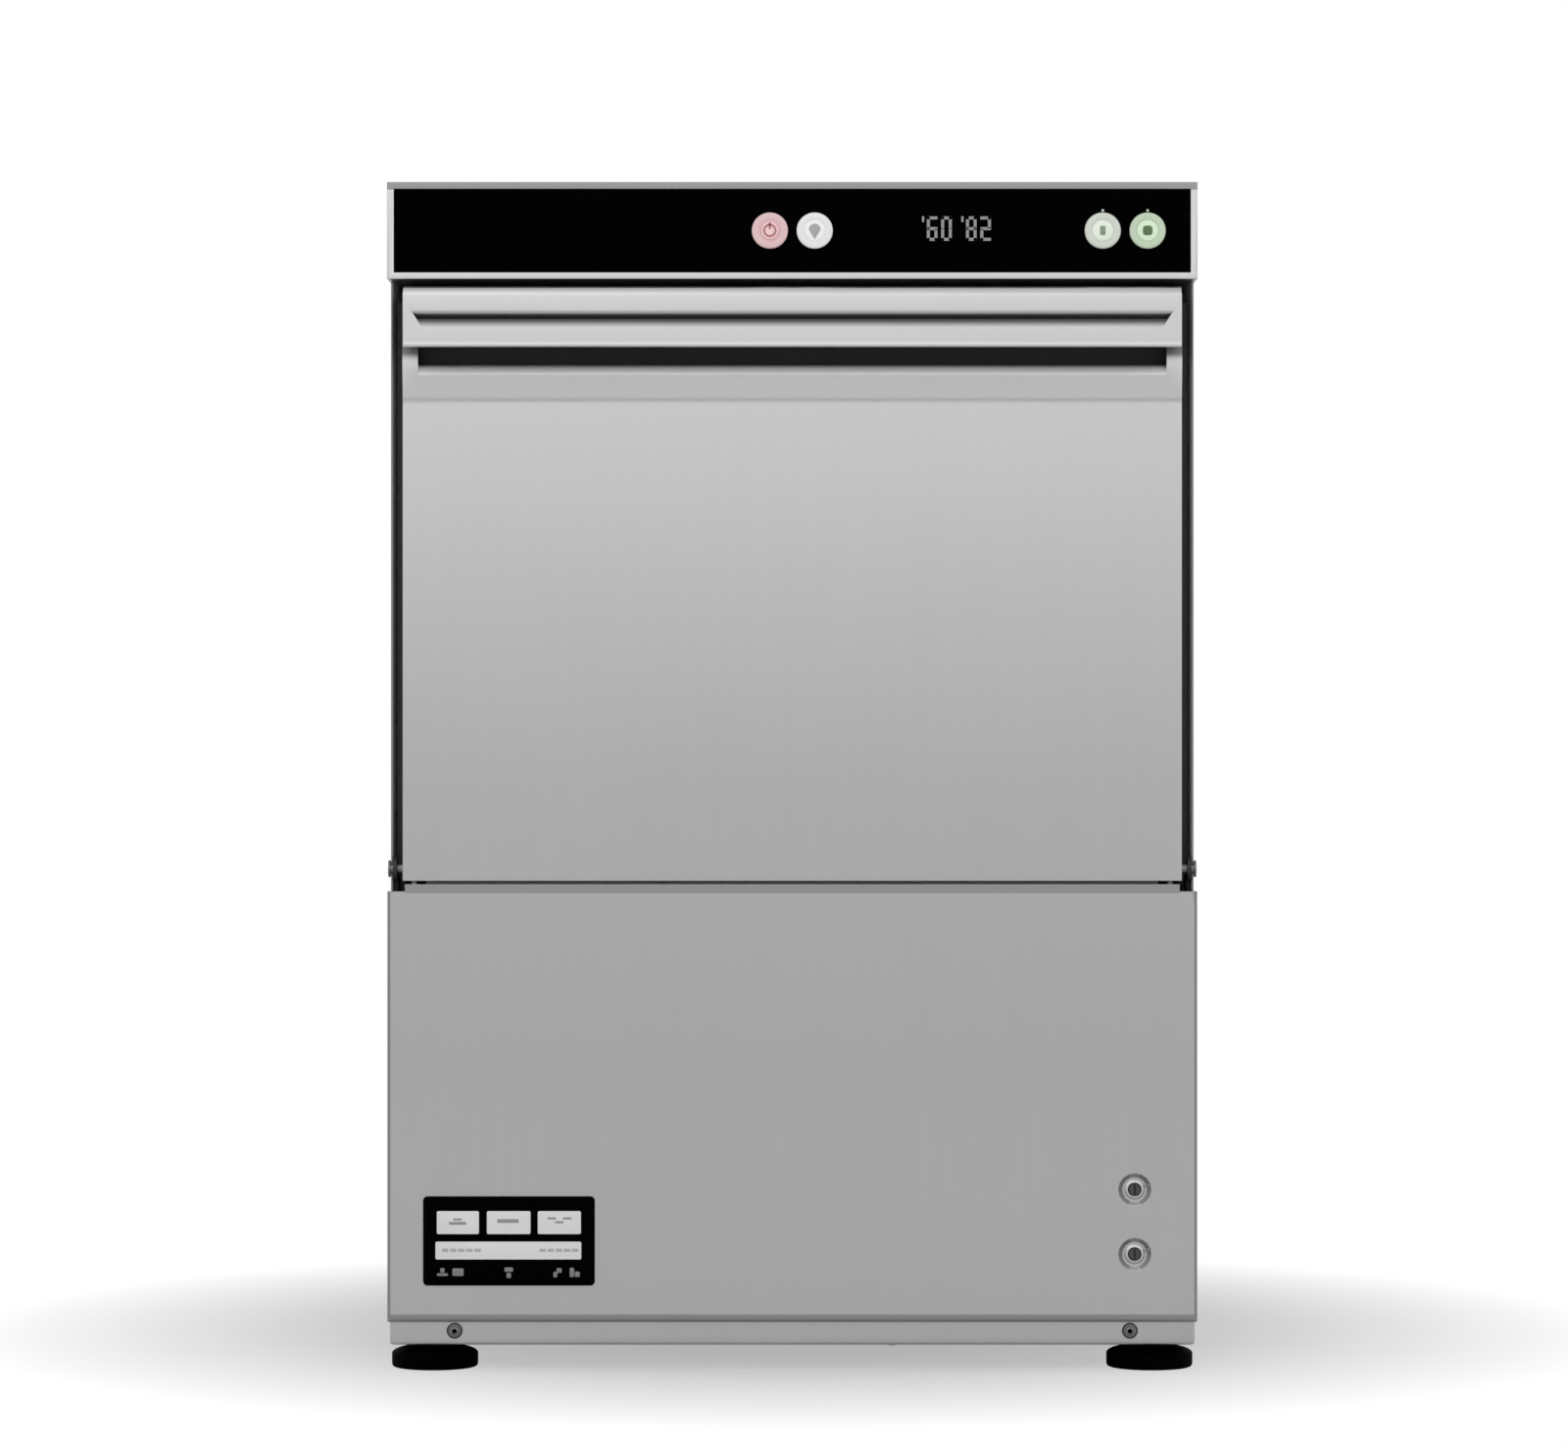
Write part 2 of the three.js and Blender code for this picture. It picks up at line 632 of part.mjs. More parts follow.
function makeInfoPlate() {
  const left = -halfWidth + plateInset;
  const bottom = lowerPanelBottom + plateRise;
  const outline = roundedOutline(left, left + plateWidth, bottom, bottom + plateHeight, plateCorner);
  const backY = panelFaceY - seatGap;
  add('info_plate', blackPlastic(), prismY(outline, backY - plateThickness, backY));
}

// Door skin: a pan whose face leans out above a crease, with a finger pocket behind the handle
const leanHeight = 21;
const leanReach = 3;
const pocketSideInset = 9;
const pocketDepth = 17;
const pocketHeight = 37.8;
const creaseDrop = 64.2;
const lipRadius = 6;
const lipSteps = 6;
const skinCap = 1.5;
const skinWrap = 22;
const leanTopY = doorFaceY - leanReach;
const creaseZ = doorTop - creaseDrop;
const pocketBottom = creaseZ + leanHeight;
const skinPanTop = doorTop - skinCap - seatGap;
const skinPanBackY = doorFaceY + skinWrap;
const pocketX = doorX - pocketSideInset;
const leanAngle = Math.atan2(leanReach, leanHeight);

function doorPan(growth) {
  const backY = skinPanBackY + (growth > 0 ? overrun : 0);
  const outline = [
    [doorFaceY + growth, doorBottom + growth], [backY, doorBottom + growth], [backY, skinPanTop - growth],
    [leanTopY + growth, skinPanTop - growth], [leanTopY + growth, pocketBottom],
    [doorFaceY + growth, creaseZ],
  ];
  return prismX(outline, -doorX + growth, doorX - growth);
}

// The rounded lower lip of the pocket, which runs from the leaning face into the pocket's floor.
function pocketLip(growth) {
  const centreY = leanTopY + lipRadius * (1 + Math.sin(leanAngle)) / Math.cos(leanAngle);
  const centreZ = pocketBottom - lipRadius;
  const radius = lipRadius - growth;
  const sweep = Math.PI / 2 + leanAngle;
  const points = Array.from({ length: lipSteps + 1 }, (_, i) => {
    const turn = Math.PI / 2 + sweep * (1 - i / lipSteps);
    return [centreY + radius * Math.cos(turn), centreZ + radius * Math.sin(turn)];
  });
  const startZ = points[0][1];
  const startY = leanTopY + growth + (pocketBottom - startZ) * Math.tan(leanAngle);
  return [[startY, startZ], ...points.slice(1)];
}

function fingerPocket(growth) {
  const lip = pocketLip(growth);
  const mouthY = leanTopY - overrun;
  const backY = leanTopY + pocketDepth + growth;
  const top = pocketBottom + pocketHeight + growth;
  const outline = [
    [mouthY, lip[0][1]], ...lip, [backY, pocketBottom - growth], [backY, top], [mouthY, top],
  ];
  return prismX(outline, -pocketX - growth, pocketX + growth);
}

function makeDoorSkin() {
  const hollow = doorPan(sheet).subtract(fingerPocket(sheet));
  const pinHoles = bothSides(
    rodX(pinRadius + pinClearance, doorX - sheet - overrun, doorX + overrun, pivotY, pivotZ),
  );
  add('door_skin', steel(), cut(doorPan(0), fingerPocket(0), hollow, ...pinHoles));
}

// Door handle: a folded bar across the top of the door, with a long tapered groove
const handleHeight = 34.8;
const handleSheet = 1.5;
const handleLip = 5;
const grooveDrop = 13.8;
const grooveHeight = 9.4;
const grooveDepth = 4.5;
const handleEndInset = 2;
const grooveEndInset = 6.6;
const grooveTaper = 9;

// A wedge-shaped groove with tapered ends: flat on top and sloping out below.
function handleGroove(growth) {
  const topZ = doorTop - grooveDrop;
  const faceY = -overallDepth / 2;
  const endX = doorX - grooveEndInset;
  const half = endX + growth;
  const frontTop = [faceY, topZ + growth];
  const innerTop = [faceY + grooveDepth + growth, topZ + growth];
  const frontBottom = [faceY, topZ - grooveHeight - growth];
  const mouth = faceY - (growth > 0 ? 0 : overrun);
  const outline = [[mouth, frontTop[1]], frontTop, innerTop, frontBottom, [mouth, frontBottom[1]]];
  const bar = prismX(outline, -half, half);
  const ends = [
    [-half, topZ + growth], [half, topZ + growth],
    [half - grooveTaper, topZ - grooveHeight - growth - overrun],
    [-half + grooveTaper, topZ - grooveHeight - growth - overrun],
  ];
  return bar.intersect(prismY(ends, faceY - 2 * overrun, faceY + grooveDepth + growth + overrun));
}

function makeDoorHandle() {
  const faceY = -overallDepth / 2;
  const handleX = doorX - handleEndInset;
  const bottom = doorTop - handleHeight;
  const outline = [
    [faceY, bottom], [faceY + handleLip, bottom], [faceY + handleLip, bottom + handleSheet],
    [faceY + handleSheet, bottom + handleSheet], [faceY + handleSheet, doorTop - handleSheet],
    [skinPanBackY, doorTop - handleSheet], [skinPanBackY, doorTop], [faceY, doorTop],
  ];
  const cheek = prismX(
    [
      [faceY, bottom], [faceY + handleLip, bottom], [leanTopY - seatGap, bottom + handleLip],
      [leanTopY - seatGap, doorTop], [faceY, doorTop],
    ],
    handleX - handleSheet, handleX,
  );
  const bar = join(prismX(outline, -handleX, handleX), ...bothSides(cheek), handleGroove(handleSheet));
  add('door_handle', brightSteel(), cut(bar, handleGroove(0)));
}

// Door liner: the inner pan of the door, with a raised plug that becomes the loading shelf
const linerSideInset = 0.3;
const linerReturn = 9;
const plugInsetX = 28;
const plugInsetTop = 31;
const plugRiseBottom = 16;
const plugTaper = 8;
const linerX = doorX - sheet - linerSideInset;
const linerBottom = doorBottom + sheet + seatGap;
const linerTop = skinPanTop - sheet - seatGap;

// The plug as a low pyramid with its top cut off, grown or shrunk by a given amount.
function linerPlug(growth, baseY) {
  const x = doorX - plugInsetX + growth;
  const bottom = pivotZ + plugRiseBottom - growth;
  const top = doorTop - plugInsetTop + growth;
  const tip = doorBackY + plugHeight + growth;
  const slope = [
    [baseY, bottom], [doorBackY, bottom], [tip, bottom + plugTaper], [tip, top - plugTaper],
    [doorBackY, top],
    [baseY, top],
  ];
  const sides = [
    [-x, baseY], [x, baseY], [x, doorBackY], [x - plugTaper, tip], [-x + plugTaper, tip], [-x, doorBackY],
  ];
  return prismX(slope, -x, x).intersect(prismZ(sides, bottom - overrun, top + overrun));
}

function makeDoorLiner() {
  const frontY = doorBackY - linerReturn;
  const outside = block(-linerX, linerX, frontY, doorBackY, linerBottom, linerTop);
  const inside = block(
    -linerX + sheet, linerX - sheet, frontY - overrun, doorBackY - sheet,
    linerBottom + sheet, linerTop - sheet,
  );
  const plug = linerPlug(0, doorBackY - sheet);
  const plugHollow = linerPlug(-sheet, doorBackY - sheet - overrun);
  const armGaps = bothSides(block(
    armX - armSlotSide, armX + armThickness + armSlotSide, frontY - overrun, doorBackY + overrun,
    linerBottom - overrun, pivotZ + armHubRadius,
  ));
  add('door_liner', steel(), cut(join(cut(outside, inside), plug), plugHollow, ...armGaps));
}

// Hinge arms: levers fixed in the door, whose lower eyes pull the balance springs
const armThickness = 3;
const armSideInset = 3;
const armHubRadius = 5.2;
const armEyeRadius = 7;
const armEyeHoleRadius = 3;
const armEyeBack = 24;
const armEyeDrop = 34;
const armTailRise = 60;
const armBossShares = [0.35, 0.85];
const armTailWidth = 9;
const armSlotSide = 1;
const armBossRadius = 3.5;
const armX = doorX - armSideInset - armThickness;
const armEyeY = pivotY + armEyeBack;
const armEyeZ = pivotZ - armEyeDrop;

function makeHingeArms() {
  const x1 = armX + armThickness;
  const hub = rodX(armHubRadius, armX, x1, pivotY, pivotZ);
  const eye = rodX(armEyeRadius, armX, x1, armEyeY, armEyeZ);
  const tail = block(
    armX, x1, pivotY - armTailWidth / 2, pivotY + armTailWidth / 2, pivotZ, pivotZ + armTailRise,
  );
  const kneeY = armEyeY - armEyeRadius / 2;
  const lever = prismX(
    [
      [pivotY, pivotZ - armEyeHoleRadius], [kneeY, pivotZ - armEyeHoleRadius], [
        armEyeY - armEyeRadius, armEyeZ,
      ],
      [armEyeY + armEyeRadius, armEyeZ], [armEyeY + armEyeHoleRadius, pivotZ + armEyeHoleRadius],
      [pivotY, pivotZ + armEyeHoleRadius],
    ],
    armX, x1,
  );
  const pinHole = rodX(pinRadius + pinClearance, armX - overrun, x1 + overrun, pivotY, pivotZ);
  const eyeHole = rodX(armEyeHoleRadius, armX - overrun, x1 + overrun, armEyeY, armEyeZ);
  const bosses = armBossShares.map((share) => rodX(
    armBossRadius, x1 - armThickness / 2, doorX - sheet - seatGap, pivotY,
    pivotZ + share * armTailRise, smallSides,
  ));
  const right = cut(join(hub, eye, tail, lever, ...bosses), pinHole, eyeHole);
  add('hinge_arm_right', brightSteel(), right);
  add('hinge_arm_left', brightSteel(), mirrored(right));
}

// Hinge brackets: plates inside the side panels that carry the pins and the spring anchors
const bracketThickness = 2.4;
const bracketLugRadius = 7.5;
const bracketFrontSetback = 17;
const bracketWidth = 34;
const anchorRise = 42;
const anchorTabHeight = 18;
const anchorHoleRadius = 3;
const bracketOuterX = skinX - sheet - seatGap;
const bracketInnerX = bracketOuterX - bracketThickness;
const bracketFrontY = panelFaceY + bracketFrontSetback;
const bracketBackY = bracketFrontY + bracketWidth;
const bracketBottom = lowerPanelBottom + sheet + seatGap;
const anchorZ = footClearance + plinthHeight + anchorRise;

function makeHingeBrackets() {
  const shoulderZ = pivotZ - bracketWidth / 2;
  const plate = prismX(
    [
      [bracketFrontY, bracketBottom], [bracketBackY, bracketBottom], [bracketBackY, shoulderZ],
      [pivotY + bracketLugRadius, pivotZ], [pivotY, pivotZ], [bracketFrontY, shoulderZ],
    ],
    bracketInnerX, bracketOuterX,
  );
  const lug = rodX(bracketLugRadius, bracketInnerX, bracketOuterX, pivotY, pivotZ);
  const shelfZ = anchorZ - anchorTabHeight / 2;
  const shelf = block(
    armX, bracketOuterX, armEyeY - armEyeRadius, armEyeY + armEyeRadius, shelfZ, shelfZ + bracketThickness,
  );
  const tab = block(
    armX, armX + armThickness, armEyeY - armEyeRadius, armEyeY + armEyeRadius,
    shelfZ, shelfZ + anchorTabHeight,
  );
  const pinHole = rodX(
    pinRadius + pinClearance, bracketInnerX - overrun, bracketOuterX + overrun, pivotY, pivotZ,
  );
  const anchorHole = rodX(
    anchorHoleRadius, armX - overrun, armX + armThickness + overrun, armEyeY, anchorZ,
  );
  const right = cut(join(plate, lug, shelf, tab), pinHole, anchorHole);
  add('hinge_bracket_right', darkSteel(), right);
  add('hinge_bracket_left', darkSteel(), mirrored(right));
}

// Hinge pins: shouldered screws from outside, each with a nut inside the door
const pinHeadRadius = 5;
const pinHeadHeight = 1.2;
const pinNutRadius = 5;
const pinNutThickness = 2.6;
const pinSocketRadius = 2;
const pinSocketDepth = 1.5;

function makeHingePins() {
  const headX = skinX + seatGap;
  const nutOuterX = armX - seatGap;
  const tipX = nutOuterX - pinNutThickness;
  const shank = rodX(pinRadius, tipX, headX + pinHeadHeight / 2, pivotY, pivotZ);
  const head = rodX(pinHeadRadius, headX, headX + pinHeadHeight, pivotY, pivotZ);
  const socket = rodX(
    pinSocketRadius, headX + pinHeadHeight - pinSocketDepth, headX + pinHeadHeight + overrun, pivotY,
    pivotZ, hexSides,
  );
  const nut = rodX(pinNutRadius, tipX, nutOuterX, pivotY, pivotZ, hexSides);
  const right = cut(join(shank, head, nut), socket);
  add('hinge_pin_right', brightSteel(), right);
  add('hinge_pin_left', brightSteel(), mirrored(right));
}

// Balance springs: close-wound tension springs from the hinge arms down to the anchors
const springRadius = 6;
const springWire = 1;
const hookRadius = 4.5;
const hookStraight = 1;

function makeBalanceSprings() {
  const x = armX + armThickness / 2;
  const topWireZ = armEyeZ - armEyeHoleRadius + 2 * seatGap + springWire;
  const bottomWireZ = anchorZ + anchorHoleRadius - 2 * seatGap - springWire;
  const topRingZ = topWireZ - hookRadius;
  const bottomRingZ = bottomWireZ + hookRadius;
  const coilTop = topRingZ - hookRadius - hookStraight;
  const coilBottom = bottomRingZ + hookRadius + hookStraight;
  const coil = rodZ(springRadius, coilBottom, coilTop, x, armEyeY);
  const hooks = [topRingZ, bottomRingZ].map((z) => wireRing(hookRadius, springWire, x, armEyeY, z));
  const necks = [
    rodZ(
      springWire, coilTop - springWire, topRingZ - hookRadius + springWire / 2, x, armEyeY, smallSides / 2,
    ),
    rodZ(
      springWire, bottomRingZ + hookRadius - springWire / 2, coilBottom + springWire, x, armEyeY,
      smallSides / 2,
    ),
  ];
  const right = join(coil, ...hooks, ...necks);
  add('balance_spring_right', brightSteel(), right);
  add('balance_spring_left', brightSteel(), mirrored(right));
}

// Door switch: behind the flange, with a plunger that the closed door holds in
const switchDrop = 33.5;
const switchBodyWidth = 17;
const switchBodyLength = 26;
const switchBodyHeight = 10;
const plungerRadius = 2;
const plungerClearance = 0.4;
const plungerInset = 5.5;
const doorSwitchX = -doorX + plungerInset;
const doorSwitchZ = doorTop - switchDrop;

function makeDoorSwitch() {
  const frontY = flangeY + sheet + seatGap;
  const body = block(
    doorSwitchX - switchBodyWidth / 2, doorSwitchX + switchBodyWidth / 2, frontY, frontY + switchBodyLength,
    doorSwitchZ - switchBodyHeight / 2, doorSwitchZ + switchBodyHeight / 2,
  );
  const plunger = rodY(
    plungerRadius, doorBackY + seatGap, frontY + sheet, doorSwitchX, doorSwitchZ, smallSides,
  );
  add('door_switch', blackPlastic(), body, plunger);
}

// Wash tank: the chamber, its front flange and the sump, with the holes that pipes pass through
const flangeArmGap = 5;
const flangeStepRise = 40;
const flangeTopDrop = 4;
const damHeight = 3.3;
const drainBossRadius = 13;
const drainBossLength = 22;
const drainPipeRadius = 9;
const cornerInset = 24;
const flangeNarrowX = armX - flangeArmGap;
const flangeWideX = skinX - sheet - seatGap;
const drainSeatX = sumpX - cornerInset;
const drainSeatY = sumpBackY - cornerInset;
const suctionX = 60;
const suctionRadius = 14;
const manifoldRadius = 14;
const elementRadius = 4;
const elementRise = 14;
const elementPitch = 40;

function makeWashTank() {
  const chamberTop = chamberCeilingZ + sheet;
  const outside = block(
    -chamberX - sheet, chamberX + sheet, flangeY, chamberBackY - seatGap, chamberFloorZ - sheet, chamberTop,
  );
  const sumpOutside = block(
    -sumpX - sheet, sumpX + sheet, sumpFrontY - sheet, sumpBackY + sheet,
    sumpFloorZ - sheet, chamberFloorZ - sheet / 2,
  );
  const damTop = doorBottom + damHeight;
  const stepZ = pivotZ + flangeStepRise;
  const flangeTop = doorTop - flangeTopDrop;
  const flangeBack = flangeY + sheet;
  const flangeLow = block(
    -flangeNarrowX, flangeNarrowX, flangeY, flangeBack, chamberFloorZ - sheet, flangeTop,
  );
  const flangeHigh = block(-flangeWideX, flangeWideX, flangeY, flangeBack, stepZ, flangeTop);
  const drainBoss = rodZ(
    drainBossRadius, sumpFloorZ - drainBossLength, sumpFloorZ - sheet / 2, drainSeatX, drainSeatY,
  );
  const body = join(outside, sumpOutside, flangeLow, flangeHigh, drainBoss);
  const chamber = block(
    -chamberX, chamberX, flangeY + sheet, chamberBackY + overrun, chamberFloorZ, chamberCeilingZ,
  );
  const mouth = block(
    -chamberX, chamberX, flangeY - overrun, flangeY + sheet + overrun, damTop, chamberCeilingZ,
  );
  const sump = block(-sumpX, sumpX, sumpFrontY, sumpBackY, sumpFloorZ, chamberFloorZ + overrun);
  const holes = [
    rodZ(manifoldRadius + seatGap, sumpFloorZ - overrun, sumpFloorZ + overrun, 0, spindleY),
    rodZ(manifoldRadius + seatGap, chamberCeilingZ - overrun, chamberCeilingZ + overrun, 0, spindleY),
    rodZ(suctionRadius, sumpFloorZ - overrun, sumpFloorZ + overrun, suctionX, pumpY),
    rodZ(
      drainPipeRadius, sumpFloorZ - drainBossLength - overrun, sumpFloorZ + overrun, drainSeatX, drainSeatY,
    ),
    rodY(
      plungerRadius + plungerClearance, flangeY - overrun, flangeY + overrun, doorSwitchX, doorSwitchZ,
      smallSides,
    ),
    ...[-elementPitch / 2, elementPitch / 2].map((x) => rodY(
      elementRadius + 2 * seatGap, sumpBackY - overrun, sumpBackY + overrun, x,
      sumpFloorZ + elementRise, smallSides,
    )),
  ];
  add('wash_tank', steel(), cut(body, chamber, mouth, sump, ...holes));
}

function makeTankBackWall() {
  const plate = block(
    -chamberX - sheet, chamberX + sheet, chamberBackY, chamberBackY + sheet, chamberFloorZ - sheet,
    chamberCeilingZ + sheet,
  );
  add('tank_back_wall', steel(), plate);
}

// Door seal: a rubber channel up both sides and over the top of the chamber's mouth
const sealWidth = 8;
const sealInset = 1.5;
const sealFoot = 10;

function makeDoorSeal() {
  const innerX = chamberX + sealInset;
  const outerX = innerX + sealWidth;
  const bottom = pivotZ + sealFoot;
  const innerTop = chamberCeilingZ + sealInset;
  const outerTop = innerTop + sealWidth;
  const outline = [
    [-outerX, bottom], [-innerX, bottom], [-innerX, innerTop], [innerX, innerTop], [innerX, bottom],
    [outerX, bottom], [outerX, outerTop], [-outerX, outerTop],
  ];
  const backY = flangeY - seatGap;
  add('door_seal', rubber(), prismY(outline, backY - sealDepth, backY));
}

// Rack guides: rails on both chamber walls, level with the open door
const guideReach = 16;
const guideWebHeight = 14;
const guideEndGap = 6;

function makeRackGuides() {
  const wallX = chamberX - seatGap;
  const y0 = flangeY + guideEndGap;
  const y1 = chamberBackY - guideEndGap;
  const web = block(wallX - sheet, wallX, y0, y1, rackLevelZ - guideWebHeight, rackLevelZ);
  const shelf = block(wallX - guideReach, wallX, y0, y1, rackLevelZ - sheet, rackLevelZ);
  const right = join(web, shelf);
  add('rack_guide_right', steel(), right);
  add('rack_guide_left', steel(), mirrored(right));
}

// Tank filter: a slotted plate over the sump, open round the spindle and the standpipe
const filterOverlap = 6;
const filterThickness = 1.5;
const filterColumns = 4;
const filterRows = 8;
const filterSlotLength = 56;
const filterSlotWidth = 4;
const filterColumnPitch = 74;
const filterRowPitch = 36;
const spindleHoleRadius = 34;
const standpipeHoleRadius = 17;

function makeTankFilter() {
  const z0 = chamberFloorZ + seatGap;
  const z1 = z0 + filterThickness;
  const plate = block(
    -sumpX - filterOverlap, sumpX + filterOverlap,
    sumpFrontY - filterOverlap, sumpBackY + filterOverlap, z0, z1,
  );
  const middleY = (sumpFrontY + sumpBackY) / 2;
  const slots = [];
  for (let column = 0; column < filterColumns; column += 1) {
    for (let row = 0; row < filterRows; row += 1) {
      const x = (column - (filterColumns - 1) / 2) * filterColumnPitch;
      const y = middleY + (row - (filterRows - 1) / 2) * filterRowPitch;
      const nearSpindle = Math.hypot(x, y - spindleY) < spindleHoleRadius + filterSlotLength / 2;
      if (nearSpindle) continue;
      slots.push(block(
        x - filterSlotLength / 2, x + filterSlotLength / 2,
        y - filterSlotWidth / 2, y + filterSlotWidth / 2,
        z0 - overrun, z1 + overrun,
      ));
    }
  }
  const spindleHole = rodZ(spindleHoleRadius, z0 - overrun, z1 + overrun, 0, spindleY);
  const standpipeHole = rodZ(standpipeHoleRadius, z0 - overrun, z1 + overrun, drainSeatX, drainSeatY);
  add('tank_filter', steel(), cut(plate, ...slots, spindleHole, standpipeHole));
}

// Standpipe: the overflow tube that plugs the sump's drain and lifts out to empty it
const standpipeRadius = 12;
const standpipeBore = 8;
const standpipePlugRadius = 8.6;
const standpipePlugLength = 12;
const standpipeGripRadius = 14;
const standpipeGripHeight = 8;
const standpipeTopDrop = 6;

function makeStandpipe() {
  const foot = sumpFloorZ + seatGap;
  const top = rackLevelZ - standpipeTopDrop;
  const tip = foot - standpipePlugLength;
  const profile = [
    [0, tip], [standpipePlugRadius, tip], [standpipePlugRadius, foot], [standpipeRadius, foot],
    [standpipeRadius, top - standpipeGripHeight], [standpipeGripRadius, top - standpipeGripHeight],
    [standpipeGripRadius, top], [0, top],
  ];
  const bore = rodZ(standpipeBore, tip - overrun, top + overrun, drainSeatX, drainSeatY, smallSides);
  add('standpipe', greyPlastic(), turnedZ(profile, drainSeatX, drainSeatY).subtract(bore));
}

// Spray arms and the two manifolds that they turn on
const runGap = 0.4;
const washHubRadius = 24;
const washHubHeight = 16;
const washArmWallGap = 23;
const washArmRoot = 32;
const washArmTip = 22;
const washArmHeight = 13;
const rinseHubRadius = 15;
const rinseHubHeight = 9;
const rinseArmShortfall = 8;
const rinseArmRadius = 3.6;
const spindleRadius = 7;
const shoulderRadius = 19;
const shoulderHeight = 4;
const knobRadius = 12;
const knobHeight = 5;
const hubGap = 2;
const lowerKnobDrop = 2;
const upperKnobDrop = 52;
const slotTurn = Math.PI / 4;
const nozzleCount = 6;
const nozzleDepth = 3;
const nozzleLength = 12;
const nozzleWidth = 3;
const rinseNozzleRadius = 1;
const rinseNozzleHeight = 1.4;
const rinseNozzleCount = 5;
const rinseRestTurn = Math.PI / 3;

const washArmReach = chamberX - washArmWallGap;
const rinseArmReach = washArmReach - rinseArmShortfall;
const stackHeight = shoulderHeight + runGap + washHubHeight + hubGap + rinseHubHeight + runGap + knobHeight;
const lowerStackTop = rackLevelZ - lowerKnobDrop;
const lowerStackBottom = lowerStackTop - stackHeight;
const upperStackBottom = chamberCeilingZ - upperKnobDrop;
const washHubStart = shoulderHeight + runGap;
const rinseHubStart = washHubStart + washHubHeight + hubGap;

// Each arm is made from 0 up along its spindle, then set above the shoulder or turned under it.
const lowerPlace = (shape) => moved(shape, 0, spindleY, lowerStackBottom);
const upperPlace = (shape) => moved(upsideDown(shape), 0, spindleY, upperStackBottom + stackHeight);

function spindleStack() {
  const knobStart = stackHeight - knobHeight;
  const washer = rinseHubStart - hubGap + runGap;
  const profile = [
    [0, 0], [shoulderRadius, 0], [shoulderRadius, shoulderHeight], [spindleRadius, shoulderHeight],
    [spindleRadius, washer], [knobRadius, washer], [knobRadius, rinseHubStart - runGap],
    [spindleRadius, rinseHubStart - runGap], [spindleRadius, knobStart], [knobRadius, knobStart],
    [knobRadius, stackHeight - runGap], [knobRadius - runGap, stackHeight], [0, stackHeight],
  ];
  return turnedZ(profile, 0, 0);
}

function washArm() {
  const middle = washHubStart + washHubHeight / 2;
  const armBottom = middle - washArmHeight / 2;
  const armTop = middle + washArmHeight / 2;
  const outline = new THREE.Shape();
  outline.moveTo(-washHubRadius / 2, -washArmRoot / 2);
  outline.lineTo(washArmReach - washArmTip / 2, -washArmTip / 2);
  outline.absarc(washArmReach - washArmTip / 2, 0, washArmTip / 2, -Math.PI / 2, Math.PI / 2);
  outline.lineTo(-washHubRadius / 2, washArmRoot / 2);
  const blade = prismZ(outline, armBottom, armTop);
  const otherBlade = turnedAboutZ(blade, Math.PI);
  const hub = rodZ(washHubRadius, washHubStart, washHubStart + washHubHeight, 0, 0);
  const bore = rodZ(spindleRadius + runGap, 0, stackHeight, 0, 0);
  const nozzles = [];
  for (let i = 0; i < nozzleCount; i += 1) {
    const x = washHubRadius + (i + 1) * (washArmReach - washHubRadius) / (nozzleCount + 1);
    const level = block(
      -nozzleWidth / 2, nozzleWidth / 2, -nozzleLength / 2, nozzleLength / 2,
      armTop - nozzleDepth, armTop + overrun,
    );
    const slot = moved(turnedAboutZ(level, i * Math.PI / nozzleCount - slotTurn), x, 0, 0);
    nozzles.push(slot, turnedAboutZ(slot, Math.PI));
  }
  return cut(join(hub, blade, otherBlade), bore, ...nozzles);
}

function rinseArm() {
  const z0 = rinseHubStart;
  const middle = z0 + rinseHubHeight / 2;
  const hub = rodZ(rinseHubRadius, z0, z0 + rinseHubHeight, 0, 0);
  const tube = rodX(rinseArmRadius, -rinseArmReach, rinseArmReach, 0, middle, smallSides);
  const bore = rodZ(spindleRadius + runGap, 0, stackHeight, 0, 0);
  const jets = [];
  for (let i = 0; i < rinseNozzleCount; i += 1) {
    const x = rinseHubRadius + (i + 1) * (rinseArmReach - rinseHubRadius) / (rinseNozzleCount + 1);
    const tip = middle + rinseArmRadius + rinseNozzleHeight;
    const jet = rodZ(rinseNozzleRadius, middle, tip, x, 0, hexSides);
    jets.push(jet, turnedAboutZ(jet, Math.PI));
  }
  return turnedAboutZ(cut(join(hub, tube, ...jets), bore), rinseRestTurn);
}

function makeSprayArms() {
  add('lower_wash_arm', brightSteel(), lowerPlace(washArm()));
  add('upper_wash_arm', brightSteel(), upperPlace(washArm()));
  add('lower_rinse_arm', brightSteel(), lowerPlace(rinseArm()));
  add('upper_rinse_arm', brightSteel(), upperPlace(rinseArm()));
}

// Wash pump: volute, motor and impeller, with the pipes that feed the manifolds
const pumpX = -37;
const pumpZ = 90;
const voluteRadius = 58;
const voluteHalfWidth = 18;
const voluteWall = 5;
const impellerRadius = 42;
const cavityRadius = 46;
const motorRadius = 46;
const motorLength = 120;
const motorGap = 1;
const motorFootWidth = 70;
const motorFootLength = 80;
const motorFinCount = 3;
const motorFinHeight = 3;
const motorFinWidth = 4;
const vaneCount = 6;
const vaneThickness = 3;
const shaftRadius = 6;
const shaftClearance = 0.4;
const shaftLength = 50;
const stubRadius = 12;
const outletOffset = 41;
const pumpY = spindleY + outletOffset;
const feedZ = sumpFloorZ - drainBossLength;
const feedBend = 20;
const outletStub = 3;
const stubTop = pumpZ + voluteRadius + outletStub;
const riserBackGap = 32;
const riserTopRise = 34;
const riserY = chamberBackY + riserBackGap;
const riserStartY = pumpY + voluteRadius + outletStub;
const riserOffset = 40;
const riserZ = pumpZ + riserOffset;
